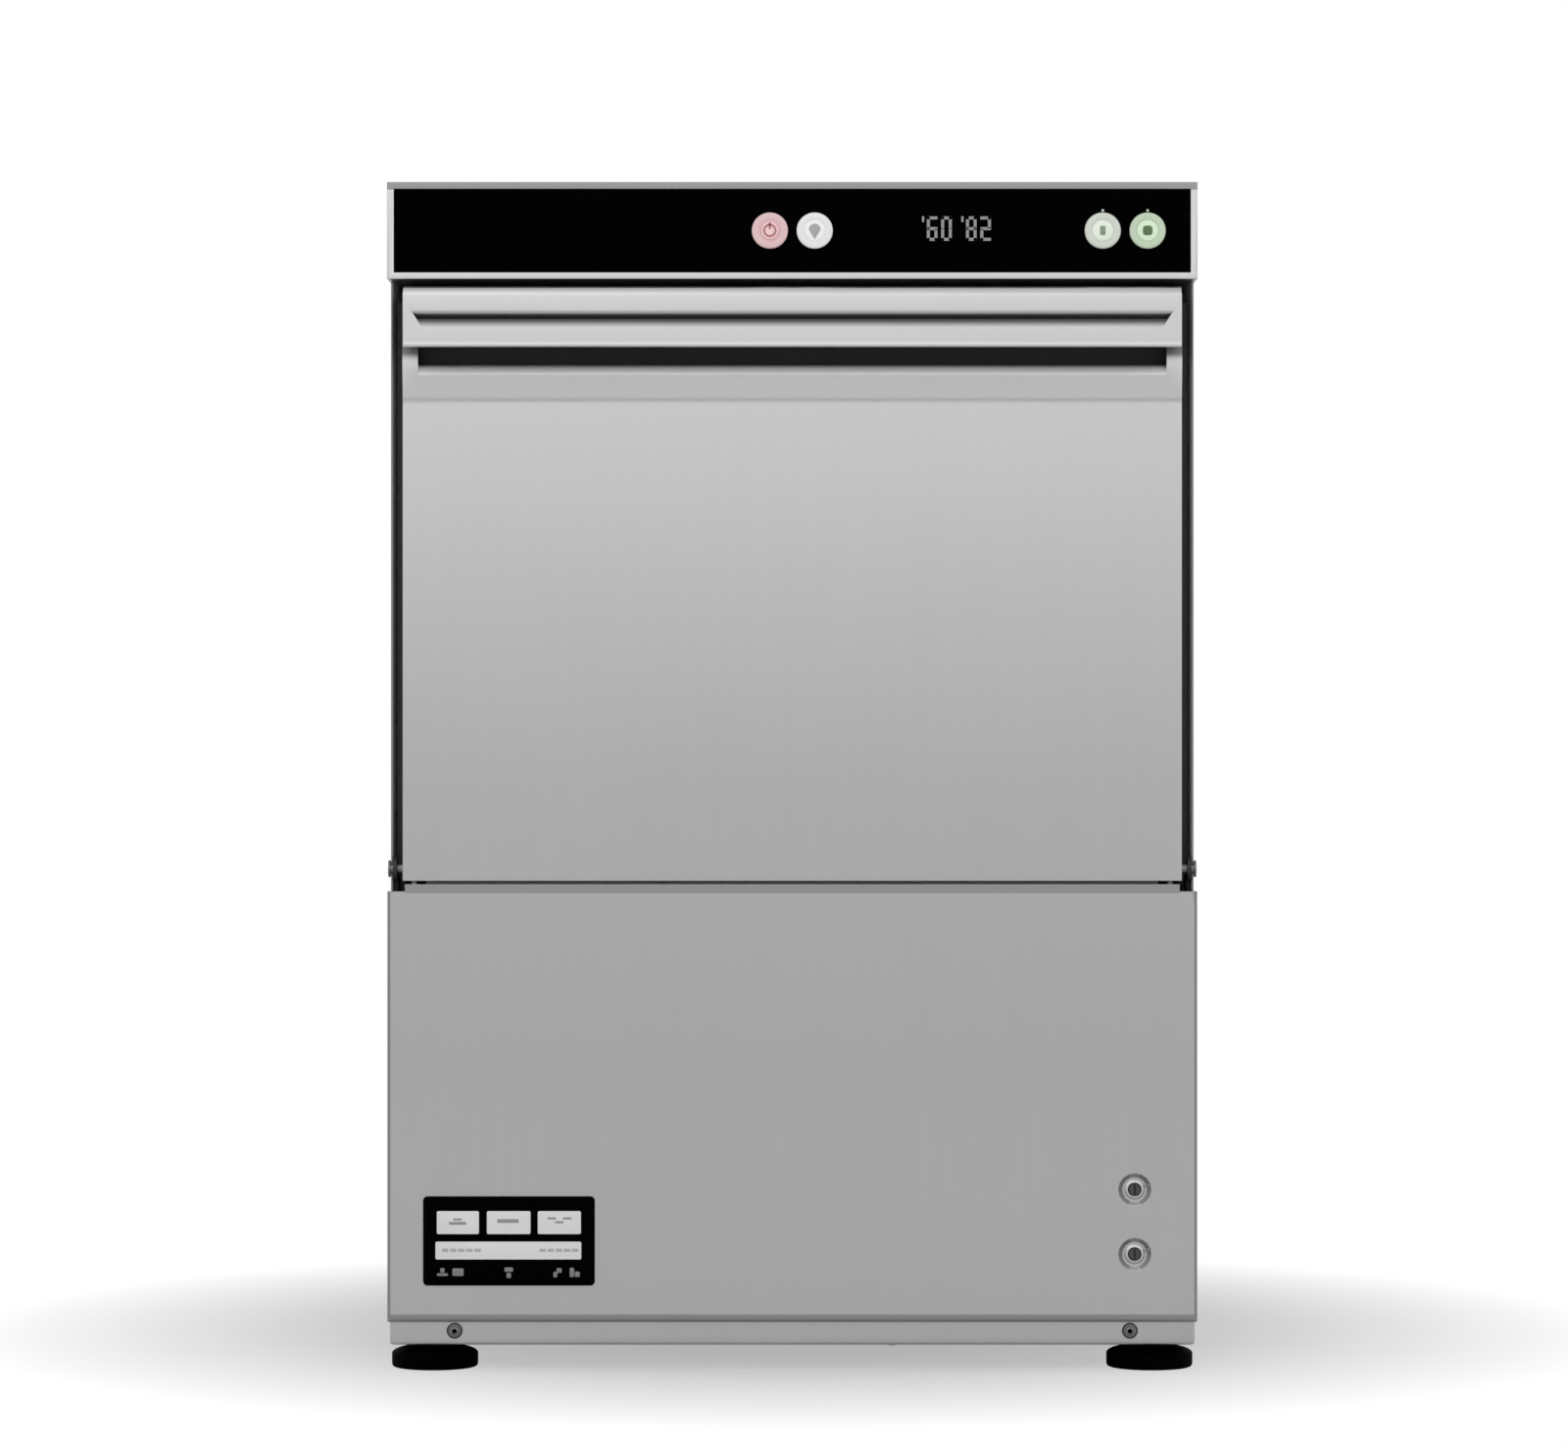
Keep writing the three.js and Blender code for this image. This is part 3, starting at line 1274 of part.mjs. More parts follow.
const riserTopZ = chamberCeilingZ + riserTopRise;
const riserBend = 24;
const riserNeck = 6;

function makeWashPump() {
  const x0 = pumpX - voluteHalfWidth;
  const x1 = pumpX + voluteHalfWidth;
  const shell = rodX(voluteRadius, x0, x1, pumpY, pumpZ);
  const feedStub = rodZ(stubRadius, pumpZ, stubTop, pumpX, spindleY, smallSides);
  const riserStub = rodY(stubRadius, pumpY, riserStartY, pumpX, riserZ, smallSides);
  const suction = pipe(
    [
      [x1 - voluteWall / 2, pumpY, pumpZ], [suctionX, pumpY, pumpZ],
      [suctionX, pumpY, sumpFloorZ - sheet - seatGap],
    ],
    suctionRadius, feedBend,
  );
  const cavity = rodX(cavityRadius, x0 - overrun, x1 - voluteWall, pumpY, pumpZ);
  add('wash_pump_volute', greyPlastic(), cut(join(shell, feedStub, riserStub, suction), cavity));

  const motorFace = x0 - seatGap;
  const motorEnd = motorFace - motorLength;
  const facePlate = rodX(voluteRadius, motorFace - voluteWall, motorFace, pumpY, pumpZ);
  const can = rodX(motorRadius, motorEnd, motorFace, pumpY, pumpZ);
  const fins = Array.from({ length: motorFinCount }, (_, i) => {
    const x = motorEnd + (i + 1) * (motorLength - voluteWall) / (motorFinCount + 1);
    return rodX(motorRadius + motorFinHeight, x - motorFinWidth / 2, x + motorFinWidth / 2, pumpY, pumpZ);
  });
  const foot = block(
    motorEnd + voluteWall, motorEnd + voluteWall + motorFootLength, pumpY - motorFootWidth / 2,
    pumpY + motorFootWidth / 2, footClearance + sheet + seatGap, pumpZ,
  );
  const shaftBore = rodX(
    shaftRadius + shaftClearance, motorFace - shaftLength - motorGap, motorFace + overrun, pumpY, pumpZ,
  );
  add('wash_pump_motor', bluePlastic(), cut(join(facePlate, can, ...fins, foot), shaftBore));

  const discX = motorFace + motorGap;
  const disc = rodX(impellerRadius, discX, discX + voluteWall, pumpY, pumpZ);
  const shaft = rodX(shaftRadius, motorFace - shaftLength, discX + voluteWall, pumpY, pumpZ);
  const vane = block(
    discX + voluteWall / 2, x1 - voluteWall - motorGap, shaftRadius / 2, impellerRadius - motorGap,
    -vaneThickness / 2, vaneThickness / 2,
  );
  const vanes = Array.from({ length: vaneCount }, (_, i) => (
    moved(turnedAboutX(vane, i * 2 * Math.PI / vaneCount), 0, pumpY, pumpZ)
  ));
  add('pump_impeller', whitePlastic(), disc, shaft, ...vanes);
}

function makeManifolds() {
  const flangeBottom = sumpFloorZ + seatGap;
  const column = rodZ(manifoldRadius, feedZ, lowerStackBottom + shoulderHeight / 2, 0, spindleY);
  const footing = rodZ(
    shoulderRadius + shoulderHeight, flangeBottom, flangeBottom + shoulderHeight, 0, spindleY,
  );
  const feed = pipe(
    [
      [0, spindleY, sumpFloorZ - sheet], [0, spindleY, feedZ], [pumpX, spindleY, feedZ],
      [pumpX, spindleY, stubTop + seatGap],
    ],
    manifoldRadius - seatGap, feedBend / 2,
  );
  const trimmed = column.subtract(block(
    -manifoldRadius - overrun, manifoldRadius + overrun, spindleY - manifoldRadius - overrun,
    spindleY + manifoldRadius + overrun, feedZ - overrun, sumpFloorZ - 2 * sheet,
  ));
  add('lower_manifold', brightSteel(), trimmed, footing, feed, lowerPlace(spindleStack()));

  const neckBottom = upperStackBottom + stackHeight - shoulderHeight / 2;
  const neckTop = riserTopZ - riserBend - riserNeck;
  const neck = rodZ(manifoldRadius, neckBottom, neckTop, 0, spindleY);
  const ceilingFlange = rodZ(
    shoulderRadius + shoulderHeight, chamberCeilingZ - seatGap - shoulderHeight,
    chamberCeilingZ - seatGap, 0, spindleY,
  );
  add('upper_manifold', brightSteel(), neck, ceilingFlange, upperPlace(spindleStack()));

  const riser = pipe(
    [
      [pumpX, riserStartY + seatGap, riserZ], [pumpX, riserY, riserZ], [pumpX, riserY, riserTopZ],
      [0, spindleY, riserTopZ], [0, spindleY, neckTop + seatGap],
    ],
    stubRadius, riserBend,
  );
  add('wash_riser', rubber(), riser);
}

// Rinse boiler on its cradles, and the heating element in the sump
const boilerRadius = 58;
const boilerPumpGap = 34;
const boilerSideGap = 27;
const boilerGap = 27;
const boilerZ = 88;
const boilerDome = 12;
const boilerFlangeRadius = 34;
const boilerFlangeDepth = 8;
const terminalRadius = 4;
const terminalLength = 12;
const cradleWidth = 12;
const elementSideInset = 60;
const elementFlangeHeight = 22;
const elementFlangeDepth = 5;
const elementFrontInset = 40;
const elementTail = 16;
const elementLoopX = sumpX - elementSideInset;
const boilerX = pumpX + voluteHalfWidth + boilerPumpGap;
const boilerLength = skinX - boilerSideGap - boilerX;
const boilerY = pumpY + suctionRadius + boilerGap + boilerRadius;

function makeRinseBoiler() {
  const shell = rodX(boilerRadius, boilerX, boilerX + boilerLength, boilerY, boilerZ);
  const dome = rodX(boilerRadius - boilerDome, boilerX - boilerDome, boilerX, boilerY, boilerZ);
  const flangeX = boilerX + boilerLength;
  const flange = rodX(
    boilerFlangeRadius, flangeX, flangeX + boilerFlangeDepth, boilerY, boilerZ, smallSides,
  );
  const terminals = [-1, 1].map((side) => rodX(
    terminalRadius, flangeX,
    flangeX + boilerFlangeDepth + terminalLength, boilerY + side * boilerFlangeRadius / 2,
    boilerZ, smallSides,
  ));
  const cradles = [boilerX + cradleWidth, boilerX + boilerLength - 2 * cradleWidth].map((x) => block(
    x, x + cradleWidth, boilerY - boilerFlangeRadius, boilerY + boilerFlangeRadius,
    footClearance + sheet + seatGap, boilerZ,
  ));
  add('rinse_boiler', brightSteel(), shell, dome, flange, ...terminals, ...cradles);
}

function makeTankElement() {
  const z = sumpFloorZ + elementRise;
  const backY = sumpBackY + elementTail;
  const half = elementPitch / 2;
  const nearY = sumpFrontY + elementFrontInset;
  const turnY = sumpBackY - elementTail;
  const loop = pipe(
    [
      [-half, backY, z], [-half, turnY, z], [-elementLoopX, turnY, z], [-elementLoopX, nearY, z],
      [elementLoopX, nearY, z], [elementLoopX, turnY, z], [half, turnY, z], [half, backY, z],
    ],
    elementRadius, elementTail / 2,
  );
  const flange = block(
    -half - elementTail, half + elementTail,
    sumpBackY + sheet + seatGap, sumpBackY + sheet + seatGap + elementFlangeDepth,
    z - elementFlangeHeight / 2, z + elementFlangeHeight / 2,
  );
  add('tank_element', darkSteel(), loop, flange);
}

// Drain pump, inlet valve and the fittings in the rear panel
const drainPumpSetback = 102;
const drainPumpRadius = 28;
const drainPumpHeight = 70;
const drainHoseRadius = 9;
const drainHoseDrop = 8;
const hoseBend = 8;
const valveWidth = 34;
const valveHeight = 40;
const valveDepth = 30;
const coilRadius = 13;
const coilHeight = 26;
const fittingFlange = 4;
const boreShare = 0.6;
const drainPumpY = rearPanelY - drainPumpSetback;

// A flange inside the rear panel and a spout that comes out through it.
function rearSpout(x, radius, sides) {
  const tipY = overallDepth / 2;
  const innerFace = rearPanelY - sheet - seatGap;
  const flange = rodY(radius + fittingFlange, innerFace - fittingFlange, innerFace, x, fittingZ, sides);
  const spout = rodY(radius, innerFace - fittingFlange / 2, tipY, x, fittingZ);
  const bore = rodY(radius * boreShare, rearPanelY, tipY + overrun, x, fittingZ, smallSides);
  return cut(join(flange, spout), bore);
}

function makeDrainPump() {
  const bottom = footClearance + sheet + seatGap;
  const can = rodZ(drainPumpRadius, bottom, bottom + drainPumpHeight, drainX, drainPumpY);
  const hoseZ = sumpFloorZ - drainBossLength - hoseBend - drainHoseDrop;
  const hose = pipe(
    [
      [drainSeatX, drainSeatY, sumpFloorZ - drainBossLength - seatGap], [drainSeatX, drainSeatY, hoseZ],
      [drainX, drainSeatY, hoseZ], [drainX, drainSeatY, bottom + drainPumpHeight - seatGap],
    ],
    drainHoseRadius, hoseBend,
  );
  const outlet = rodY(drainHoseRadius, drainPumpY, rearPanelY - sheet - fittingFlange, drainX, fittingZ);
  add('drain_pump', blackPlastic(), can, hose, outlet, rearSpout(drainX, drainRadius, roundSides));
}

function makeInletAndGland() {
  const valveBackY = rearPanelY - sheet - seatGap - fittingFlange / 2;
  const valve = block(
    inletX - valveWidth / 2, inletX + valveWidth / 2, valveBackY - valveDepth, valveBackY,
    fittingZ - valveHeight / 2, fittingZ + valveHeight / 2,
  );
  const coil = rodZ(
    coilRadius, fittingZ, fittingZ + valveHeight / 2 + coilHeight, inletX,
    valveBackY - valveDepth / 2, smallSides,
  );
  add('inlet_valve', brass(), valve, coil, rearSpout(inletX, inletRadius, hexSides));
  add('cable_gland', blackPlastic(), rearSpout(glandX, glandRadius, hexSides));
}

// Dosing pumps behind the adjusters, with their rotors and the adjusting shafts
const doserWidth = 28;
const doserHeight = adjusterPitch - seatGap;
const doserDepth = 58;
const doserSetback = 26;
const doserLegInset = 4;
const doserLegWidth = 6;
const headRadius = 15;
const headDepth = 12;
const headBoreRadius = 12.5;
const rotorRadius = 3;
const rollerRadius = 3;
const rollerOrbit = 8.5;
const rollerCount = 3;
const rotorGap = 0.5;
const axleLength = 8;
const axleClearance = 0.4;
const slotWidth = 1.2;
const slotDepth = 1.5;
const adjusterTipSetback = 0.9;
const adjusterCollarRadius = 6.5;
const adjusterCollarLength = 3;
const adjusterSeatDepth = 8;
const doserX0 = adjusterX - doserWidth / 2;
const doserX1 = adjusterX + doserWidth / 2;
const doserFrontY = panelFaceY + doserSetback;
const doserHeadY = doserFrontY + doserDepth / 2;

function makeDosingPump(kind, z) {
  const body = block(
    doserX0, doserX1, doserFrontY, doserFrontY + doserDepth, z - doserHeight / 2, z + doserHeight / 2,
  );
  const head = rodX(headRadius, doserX0 - headDepth, doserX0 + overrun, doserHeadY, z);
  const headBore = rodX(headBoreRadius, doserX0 - headDepth - overrun, doserX0, doserHeadY, z);
  const axleBore = rodX(
    rotorRadius + axleClearance, doserX0 - overrun, doserX0 + axleLength + rotorGap, doserHeadY,
    z, smallSides,
  );
  const shaftSeat = rodY(
    adjusterRadius + adjusterClearance, doserFrontY - overrun,
    doserFrontY + adjusterSeatDepth + seatGap, adjusterX, z,
  );
  const legY = doserFrontY + doserDepth - doserLegInset;
  const leg = block(
    doserX0, doserX0 + doserLegWidth, legY - doserLegWidth, legY, footClearance + sheet + seatGap, z,
  );
  const stack = z === lowerAdjusterZ ? join(body, head, leg) : join(body, head);
  add(`dosing_pump_${kind}`, greyPlastic(), cut(stack, headBore, axleBore, shaftSeat));

  const rotorX1 = doserX0 - rotorGap;
  const rotorX0 = rotorX1 - headDepth + 2 * rotorGap;
  const axle = rodX(rotorRadius, rotorX0, doserX0 + axleLength, doserHeadY, z, smallSides);
  const plate = rodX(rollerOrbit, rotorX0, rotorX0 + headDepth / rollerCount, doserHeadY, z);
  const rollers = Array.from({ length: rollerCount }, (_, i) => {
    const turn = i * 2 * Math.PI / rollerCount;
    return rodX(
      rollerRadius, rotorX0, rotorX1, doserHeadY + rollerOrbit * Math.cos(turn),
      z + rollerOrbit * Math.sin(turn),
      smallSides,
    );
  });
  add(`dosing_rotor_${kind}`, whitePlastic(), axle, plate, ...rollers);

  const tipY = panelFaceY + adjusterTipSetback;
  const shaft = rodY(adjusterRadius, tipY, doserFrontY + adjusterSeatDepth, adjusterX, z);
  const collar = rodY(
    adjusterCollarRadius, doserFrontY - seatGap - adjusterCollarLength, doserFrontY - seatGap, adjusterX, z,
  );
  const slot = block(
    adjusterX - slotWidth / 2, adjusterX + slotWidth / 2, tipY - overrun, tipY + slotDepth,
    z - adjusterRadius - overrun, z + adjusterRadius + overrun,
  );
  add(`adjuster_${kind}`, darkSteel(), cut(join(shaft, collar), slot));
}

// Power tray: contactor and terminal block on a plate inside the left side panel
const trayPlateThickness = 1.5;
const trayPlateSetback = 86;
const trayPlateLength = 120;
const trayPlateRise = 50;
const trayPlateHeight = 110;
const contactorDepth = 24;
const contactorShare = 0.42;
const terminalDepth = 14;
const terminalShare = 0.2;
const trayPlateFrontY = panelFaceY + trayPlateSetback;

function makePowerTray() {
  const x0 = -skinX + sheet + seatGap;
  const plateX = x0 + trayPlateThickness;
  const y1 = trayPlateFrontY + trayPlateLength;
  const z0 = footClearance + plinthHeight + trayPlateRise;
  const z1 = z0 + trayPlateHeight;
  const margin = terminalShare * trayPlateLength / 2;
  const plate = block(x0, plateX, trayPlateFrontY, y1, z0, z1);
  const contactor = block(
    x0, plateX + contactorDepth, trayPlateFrontY + margin, y1 - margin,
    z1 - contactorShare * trayPlateHeight, z1 - margin / 2,
  );
  const terminals = block(
    x0, plateX + terminalDepth, trayPlateFrontY + margin, y1 - margin,
    z0 + margin, z0 + margin + terminalShare * trayPlateHeight,
  );
  add('power_tray', whitePlastic(), plate, contactor, terminals);
}

makeFeet();
makeBaseTray();
makeSidePanels();
makeRearPanel();
makeTopCover();
makeControlHood();
makeFasciaGlass();
makeButtons();
makeControlBoard();
makeLowerPanel();
makeInfoPlate();
makeDoorSkin();
makeDoorHandle();
makeDoorLiner();
makeHingeArms();
makeHingeBrackets();
makeHingePins();
makeBalanceSprings();
makeDoorSwitch();
makeWashTank();
makeTankBackWall();
makeDoorSeal();
makeRackGuides();
makeTankFilter();
makeStandpipe();
makeSprayArms();
makeWashPump();
makeManifolds();
makeRinseBoiler();
makeTankElement();
makeDrainPump();
makeInletAndGland();
makeDosingPump('detergent', upperAdjusterZ);
makeDosingPump('rinse_aid', lowerAdjusterZ);
makePowerTray();

export default machine;
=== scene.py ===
"""Under-counter glass washer: stainless cabinet, black glass fascia, drop-down door and its inner works.

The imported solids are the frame. Each operator dresses or models one group of pieces around them.
Sizes and places are in millimetres unless told, and MM turns them to Blender's metres.
"""

import json
import math
from contextlib import contextmanager

import bmesh
import bpy
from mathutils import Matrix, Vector

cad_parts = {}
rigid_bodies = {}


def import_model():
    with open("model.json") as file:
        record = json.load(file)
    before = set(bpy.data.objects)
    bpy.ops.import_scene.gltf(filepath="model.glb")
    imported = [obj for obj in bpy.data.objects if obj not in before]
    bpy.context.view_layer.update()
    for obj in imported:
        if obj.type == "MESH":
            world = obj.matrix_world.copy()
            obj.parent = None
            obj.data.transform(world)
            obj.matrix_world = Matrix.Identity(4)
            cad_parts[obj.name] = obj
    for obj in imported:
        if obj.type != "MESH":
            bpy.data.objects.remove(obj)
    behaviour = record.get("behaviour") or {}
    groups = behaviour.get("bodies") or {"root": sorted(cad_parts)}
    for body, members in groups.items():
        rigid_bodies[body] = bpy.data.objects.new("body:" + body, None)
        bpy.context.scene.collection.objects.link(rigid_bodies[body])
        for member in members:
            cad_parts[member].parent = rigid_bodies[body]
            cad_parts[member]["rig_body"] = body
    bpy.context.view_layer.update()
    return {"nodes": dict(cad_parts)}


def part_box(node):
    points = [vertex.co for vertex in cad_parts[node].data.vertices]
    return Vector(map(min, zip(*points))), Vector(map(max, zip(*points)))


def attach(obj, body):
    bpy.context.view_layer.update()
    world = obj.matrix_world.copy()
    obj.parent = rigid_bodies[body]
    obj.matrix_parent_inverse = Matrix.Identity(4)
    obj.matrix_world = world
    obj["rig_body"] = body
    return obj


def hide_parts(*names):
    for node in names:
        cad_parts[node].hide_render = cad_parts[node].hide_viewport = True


bl_info = {
    "name": "Glass Washer",
    "version": (1, 0, 0),
    "blender": (4, 5, 0),
    "location": "View3D > Sidebar > Washer",
    "description": "Models a stainless under-counter glass washer around its packed solids",
    "category": "Object",
}

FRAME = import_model()
NODES = FRAME["nodes"]
MM = 0.001
# two places this near count as the same
NEAR = 0.02
# the radius at which a turned piece's end counts as closed
TIP = 0.02


def linear(code):
    """An sRGB hex colour as linear red, green and blue."""
    shares = [int(code[i : i + 2], 16) / 255 for i in (1, 3, 5)]
    return tuple(s / 12.92 if s <= 0.04045 else ((s + 0.055) / 1.055) ** 2.4 for s in shares)


def colour(label, code, about):
    """A colour property with its default."""
    return bpy.props.FloatVectorProperty(
        name=label, description=about, default=linear(code), subtype="COLOR", size=3, min=0, max=1
    )


def length(label, millimetres, about):
    """A length property, given in millimetres and kept in metres."""
    return bpy.props.FloatProperty(
        name=label, description=about, default=millimetres * MM, min=0, unit="LENGTH",
        subtype="DISTANCE", precision=4,
    )


class WasherColours(bpy.types.PropertyGroup):
    """Colours of the washer's finishes."""

    steel: colour("Brushed steel", "#B0B0B0", "Stainless sheet of the cabinet and door")
    bright: colour("Bright steel", "#CFCFCE", "Springs, screws, hinge arms and rinse arms")
    # painted shade: the service panel's and plinth's sheet, darker than the door's
    low: colour("Lower sheet", "#A7A7A7", "Brushed sheet of the service panel and plinth")
    # painted shade: a darker copy of the sheet for the folds, the hem and the drip strip
    mill: colour("Mill finish", "#8A8A8A", "Dull rolled sheet of the drip strip and the folds")
    zinc: colour("Zinc plate", "#787979", "Plinth screws, hinge pins and stop pins")
    # the dark screw seats are painted shade of the screws' holes
    dark: colour("Dark steel", "#3A3B3D", "Blackened steel of the hinge brackets and screw seats")
    glass: colour("Fascia glass", "#010101", "Back-painted glass of the control fascia")
    plate: colour("Plate", "#010101", "Printed instruction plate")
    print: colour("Print", "#D4D4D3", "Light keys on the instruction plate")
    ink: colour("Ink", "#8C8D8D", "Small grey marks on light ground")
    pale_ink: colour("Pale ink", "#A6A6A5", "Rows of small marks and the drain mark")
    faint: colour("Faint print", "#767676", "Small grey marks on black ground")
    digits: colour("Digits", "#909090", "Segments of the display")
    pink: colour("Power lens", "#EBC8CA", "Lens of the power button")
    pink_rim: colour("Power rim", "#DCBCBE", "Rim of the power button")
    red: colour("Power mark", "#AD7279", "Mark on the power button")
    white: colour("Drain lens", "#EDEDEC", "Lens of the drain button")
    white_rim: colour("Drain rim", "#E4E4E3", "Rim of the drain button")
    pale: colour("Short cycle lens", "#E2EBDB", "Lens of the short cycle button")
    pale_rim: colour("Short cycle rim", "#CED4CA", "Rim of the short cycle button")
    green: colour("Long cycle lens", "#D2E8C9", "Lens of the long cycle button")
    green_rim: colour("Long cycle rim", "#BDCEB6", "Rim of the long cycle button")
    moss: colour("Long cycle mark", "#566F4D", "Mark on the long cycle button")
    fern: colour("Short cycle mark", "#84957E", "Mark on the short cycle button")
    # painted shade: the charcoal inside the door's finger recess
    cup: colour("Finger cup", "#2C2C2D", "Lining of the door's finger recess")
    rubber: colour("Rubber", "#141415", "Seal and hoses")
    # the edge trims' dark grey is painted shade of the gaps beside the door
    trim: colour("Edge trim", "#6E6E6F", "Edge strips in the gaps beside the door")
    butyl: colour("Butyl sheet", "#B4B4B5", "Foil-faced sound-deadening sheet inside the side panels")
    black: colour("Black plastic", "#010101", "Feet and black fittings")
    grey: colour("Grey plastic", "#83878A", "Pump housings and standpipe")
    stem: colour("Adjuster", "#3E3F40", "Stems of the dosing adjusters")
    natural: colour("Natural plastic", "#DDDEDB", "Wheels of the dosing pumps")
    motor: colour("Motor paint", "#33373B", "Painted motor")
    jacket: colour("Boiler jacket", "#2B2C2E", "Foam jacket of the rinse boiler")
    brass: colour("Brass", "#B08D4E", "Water coupling and bonding stud")
    board: colour("Circuit board", "#1C5334", "Solder mask of the control board")
    floor: colour("Floor", "#F2F2F2", "Pale studio floor")


class WasherSizes(bpy.types.PropertyGroup):
    """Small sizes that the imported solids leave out."""

    bezel: length("Bezel width", 1.1, "Width of the ring round each button")
    mark: length("Mark height", 0.12, "Thickness of a printed mark")
    wire: length("Spring wire", 1.6, "Wire diameter of the balance springs")
    pitch: length("Spring pitch", 2.6, "Distance between the turns of a balance spring")
    brushing: length("Brushing", 1.3, "Width of a brush line as drawn, coarser than the real 0.2 mm")


def colours():
    """The colours as they are set in the scene."""
    return bpy.context.scene.washer_colours


def sizes():
    """The small sizes as they are set in the scene."""
    return bpy.context.scene.washer_sizes


# materials


def add_node(material, kind, settings=None, values=None, links=None, stops=()):
    """Adds one node with its settings, socket values, incoming links and the stops of its colour ramp."""
    made = material.node_tree.nodes.new(kind)
    for key, value in (settings or {}).items():
        setattr(made, key, value)
    for socket, value in (values or {}).items():
        made.inputs[socket].default_value = value
    for socket, (source, output) in (links or {}).items():
        material.node_tree.links.new(source.outputs[output], made.inputs[socket])
    if stops:
        ramp = made.color_ramp.elements
        for end, (position, tone) in zip(ramp, (stops[0], stops[-1])):
            end.position = position
            end.color = tone
        for position, tone in stops[1:-1]:
            ramp.new(position).color = tone
    return made


def new_material(name):
    """An empty node material and its shader, ready for patterns."""
    material = bpy.data.materials.new(name)
    material.use_nodes = True
    shader = material.node_tree.nodes["Principled BSDF"]
    return material, shader


def link(material, source, output, target, socket):
    """Links one output to one socket."""
    material.node_tree.links.new(source.outputs[output], target.inputs[socket])


def tinted(base, share):
    """A linear colour, lighter or darker by a share, with its alpha."""
    return tuple(min(1.0, c * share) for c in base) + (1.0,)


def brushed_steel(name, base, grain, roughness=0.36, fade=((0, 1.0), (700, 1.0))):
    """Austenitic stainless sheet, belt-brushed in one direction.

    It mirrors softly across the brush lines and blurs along them, with faint lighter and darker lines.
    The fade holds pairs of height in millimetres and share: the sheet's painted light and shade at that
    height.
    """
    line_length, cloud_width, scratch_depth = 90, 140, 0.04
    material, shader = new_material(name)
    fullest = max(share for _, share in fade)
    low, high = fade[0][0], fade[-1][0]
    across, along = 1 / sizes().brushing, 1 / (line_length * MM)
    stretch = [along if axis == grain else across for axis in "XYZ"]
    place = add_node(material, "ShaderNodeTexCoord")
    lines = add_node(
        material, "ShaderNodeMapping", {}, {"Scale": stretch}, {"Vector": (place, "Object")}
    )
    brush = add_node(
        material, "ShaderNodeTexNoise", {}, {"Scale": 1.0, "Detail": 3.0, "Roughness": 0.6},
        {"Vector": (lines, "Vector")},
    )
    cloud = add_node(
        material, "ShaderNodeTexNoise", {}, {"Scale": 1 / (cloud_width * MM), "Detail": 2.0},
        {"Vector": (place, "Object")},
    )
    tone = add_node(
        material, "ShaderNodeValToRGB", {}, {}, {"Fac": (brush, "Fac")},
        ((0.3, tinted(base, 0.985 * fullest)), (0.7, tinted(base, 1.012 * fullest))),
    )
    height = add_node(material, "ShaderNodeSeparateXYZ", {}, {}, {"Vector": (place, "Object")})
    level = add_node(
        material, "ShaderNodeMapRange", {}, {"From Min": low * MM, "From Max": high * MM},
        {"Value": (height, "Z")},
    )
    shade = add_node(
        material, "ShaderNodeValToRGB", {}, {}, {"Fac": (level, "Result")},
        [((z - low) / (high - low), (share / fullest,) * 3 + (1,)) for z, share in fade],
    )
    sheet = add_node(
        material, "ShaderNodeVectorMath", {"operation": "MULTIPLY"}, {},
        {0: (tone, "Color"), 1: (shade, "Color")},
    )
    both = add_node(
        material, "ShaderNodeMath", {"operation": "MULTIPLY_ADD"}, {1: 0.5},
        {0: (cloud, "Fac"), 2: (brush, "Fac")},
    )
    rough = add_node(
        material, "ShaderNodeMapRange", {},
        {"From Min": 0.4, "From Max": 1.1, "To Min": roughness - 0.025, "To Max": roughness + 0.03},
        {"Value": (both, "Value")},
    )
    bump = add_node(
        material, "ShaderNodeBump", {}, {"Strength": 0.05, "Distance": scratch_depth * MM},
        {"Height": (brush, "Fac")},
    )
    link(material, sheet, "Vector", shader, "Base Color")
    link(material, rough, "Result", shader, "Roughness")
    link(material, bump, "Normal", shader, "Normal")
    shader.inputs["Metallic"].default_value = 1.0
    return material


def fine_metal(name, base, roughness, grain=0.8):
    """Turned, drawn or plated metal: an even sheen with a fine mottle from the tool."""
    material, shader = new_material(name)
    place = add_node(material, "ShaderNodeTexCoord")
    mottle = add_node(
        material, "ShaderNodeTexNoise", {}, {"Scale": 1 / (grain * MM), "Detail": 2.0},
        {"Vector": (place, "Object")},
    )
    tone = add_node(
        material, "ShaderNodeValToRGB", {}, {}, {"Fac": (mottle, "Fac")},
        ((0, tinted(base, 0.93)), (1, tinted(base, 1.05))),
    )
    rough = add_node(
        material, "ShaderNodeMapRange", {}, {"To Min": roughness - 0.05, "To Max": roughness + 0.07},
        {"Value": (mottle, "Fac")},
    )
    link(material, tone, "Color", shader, "Base Color")
    link(material, rough, "Result", shader, "Roughness")
    shader.inputs["Metallic"].default_value = 1.0
    return material


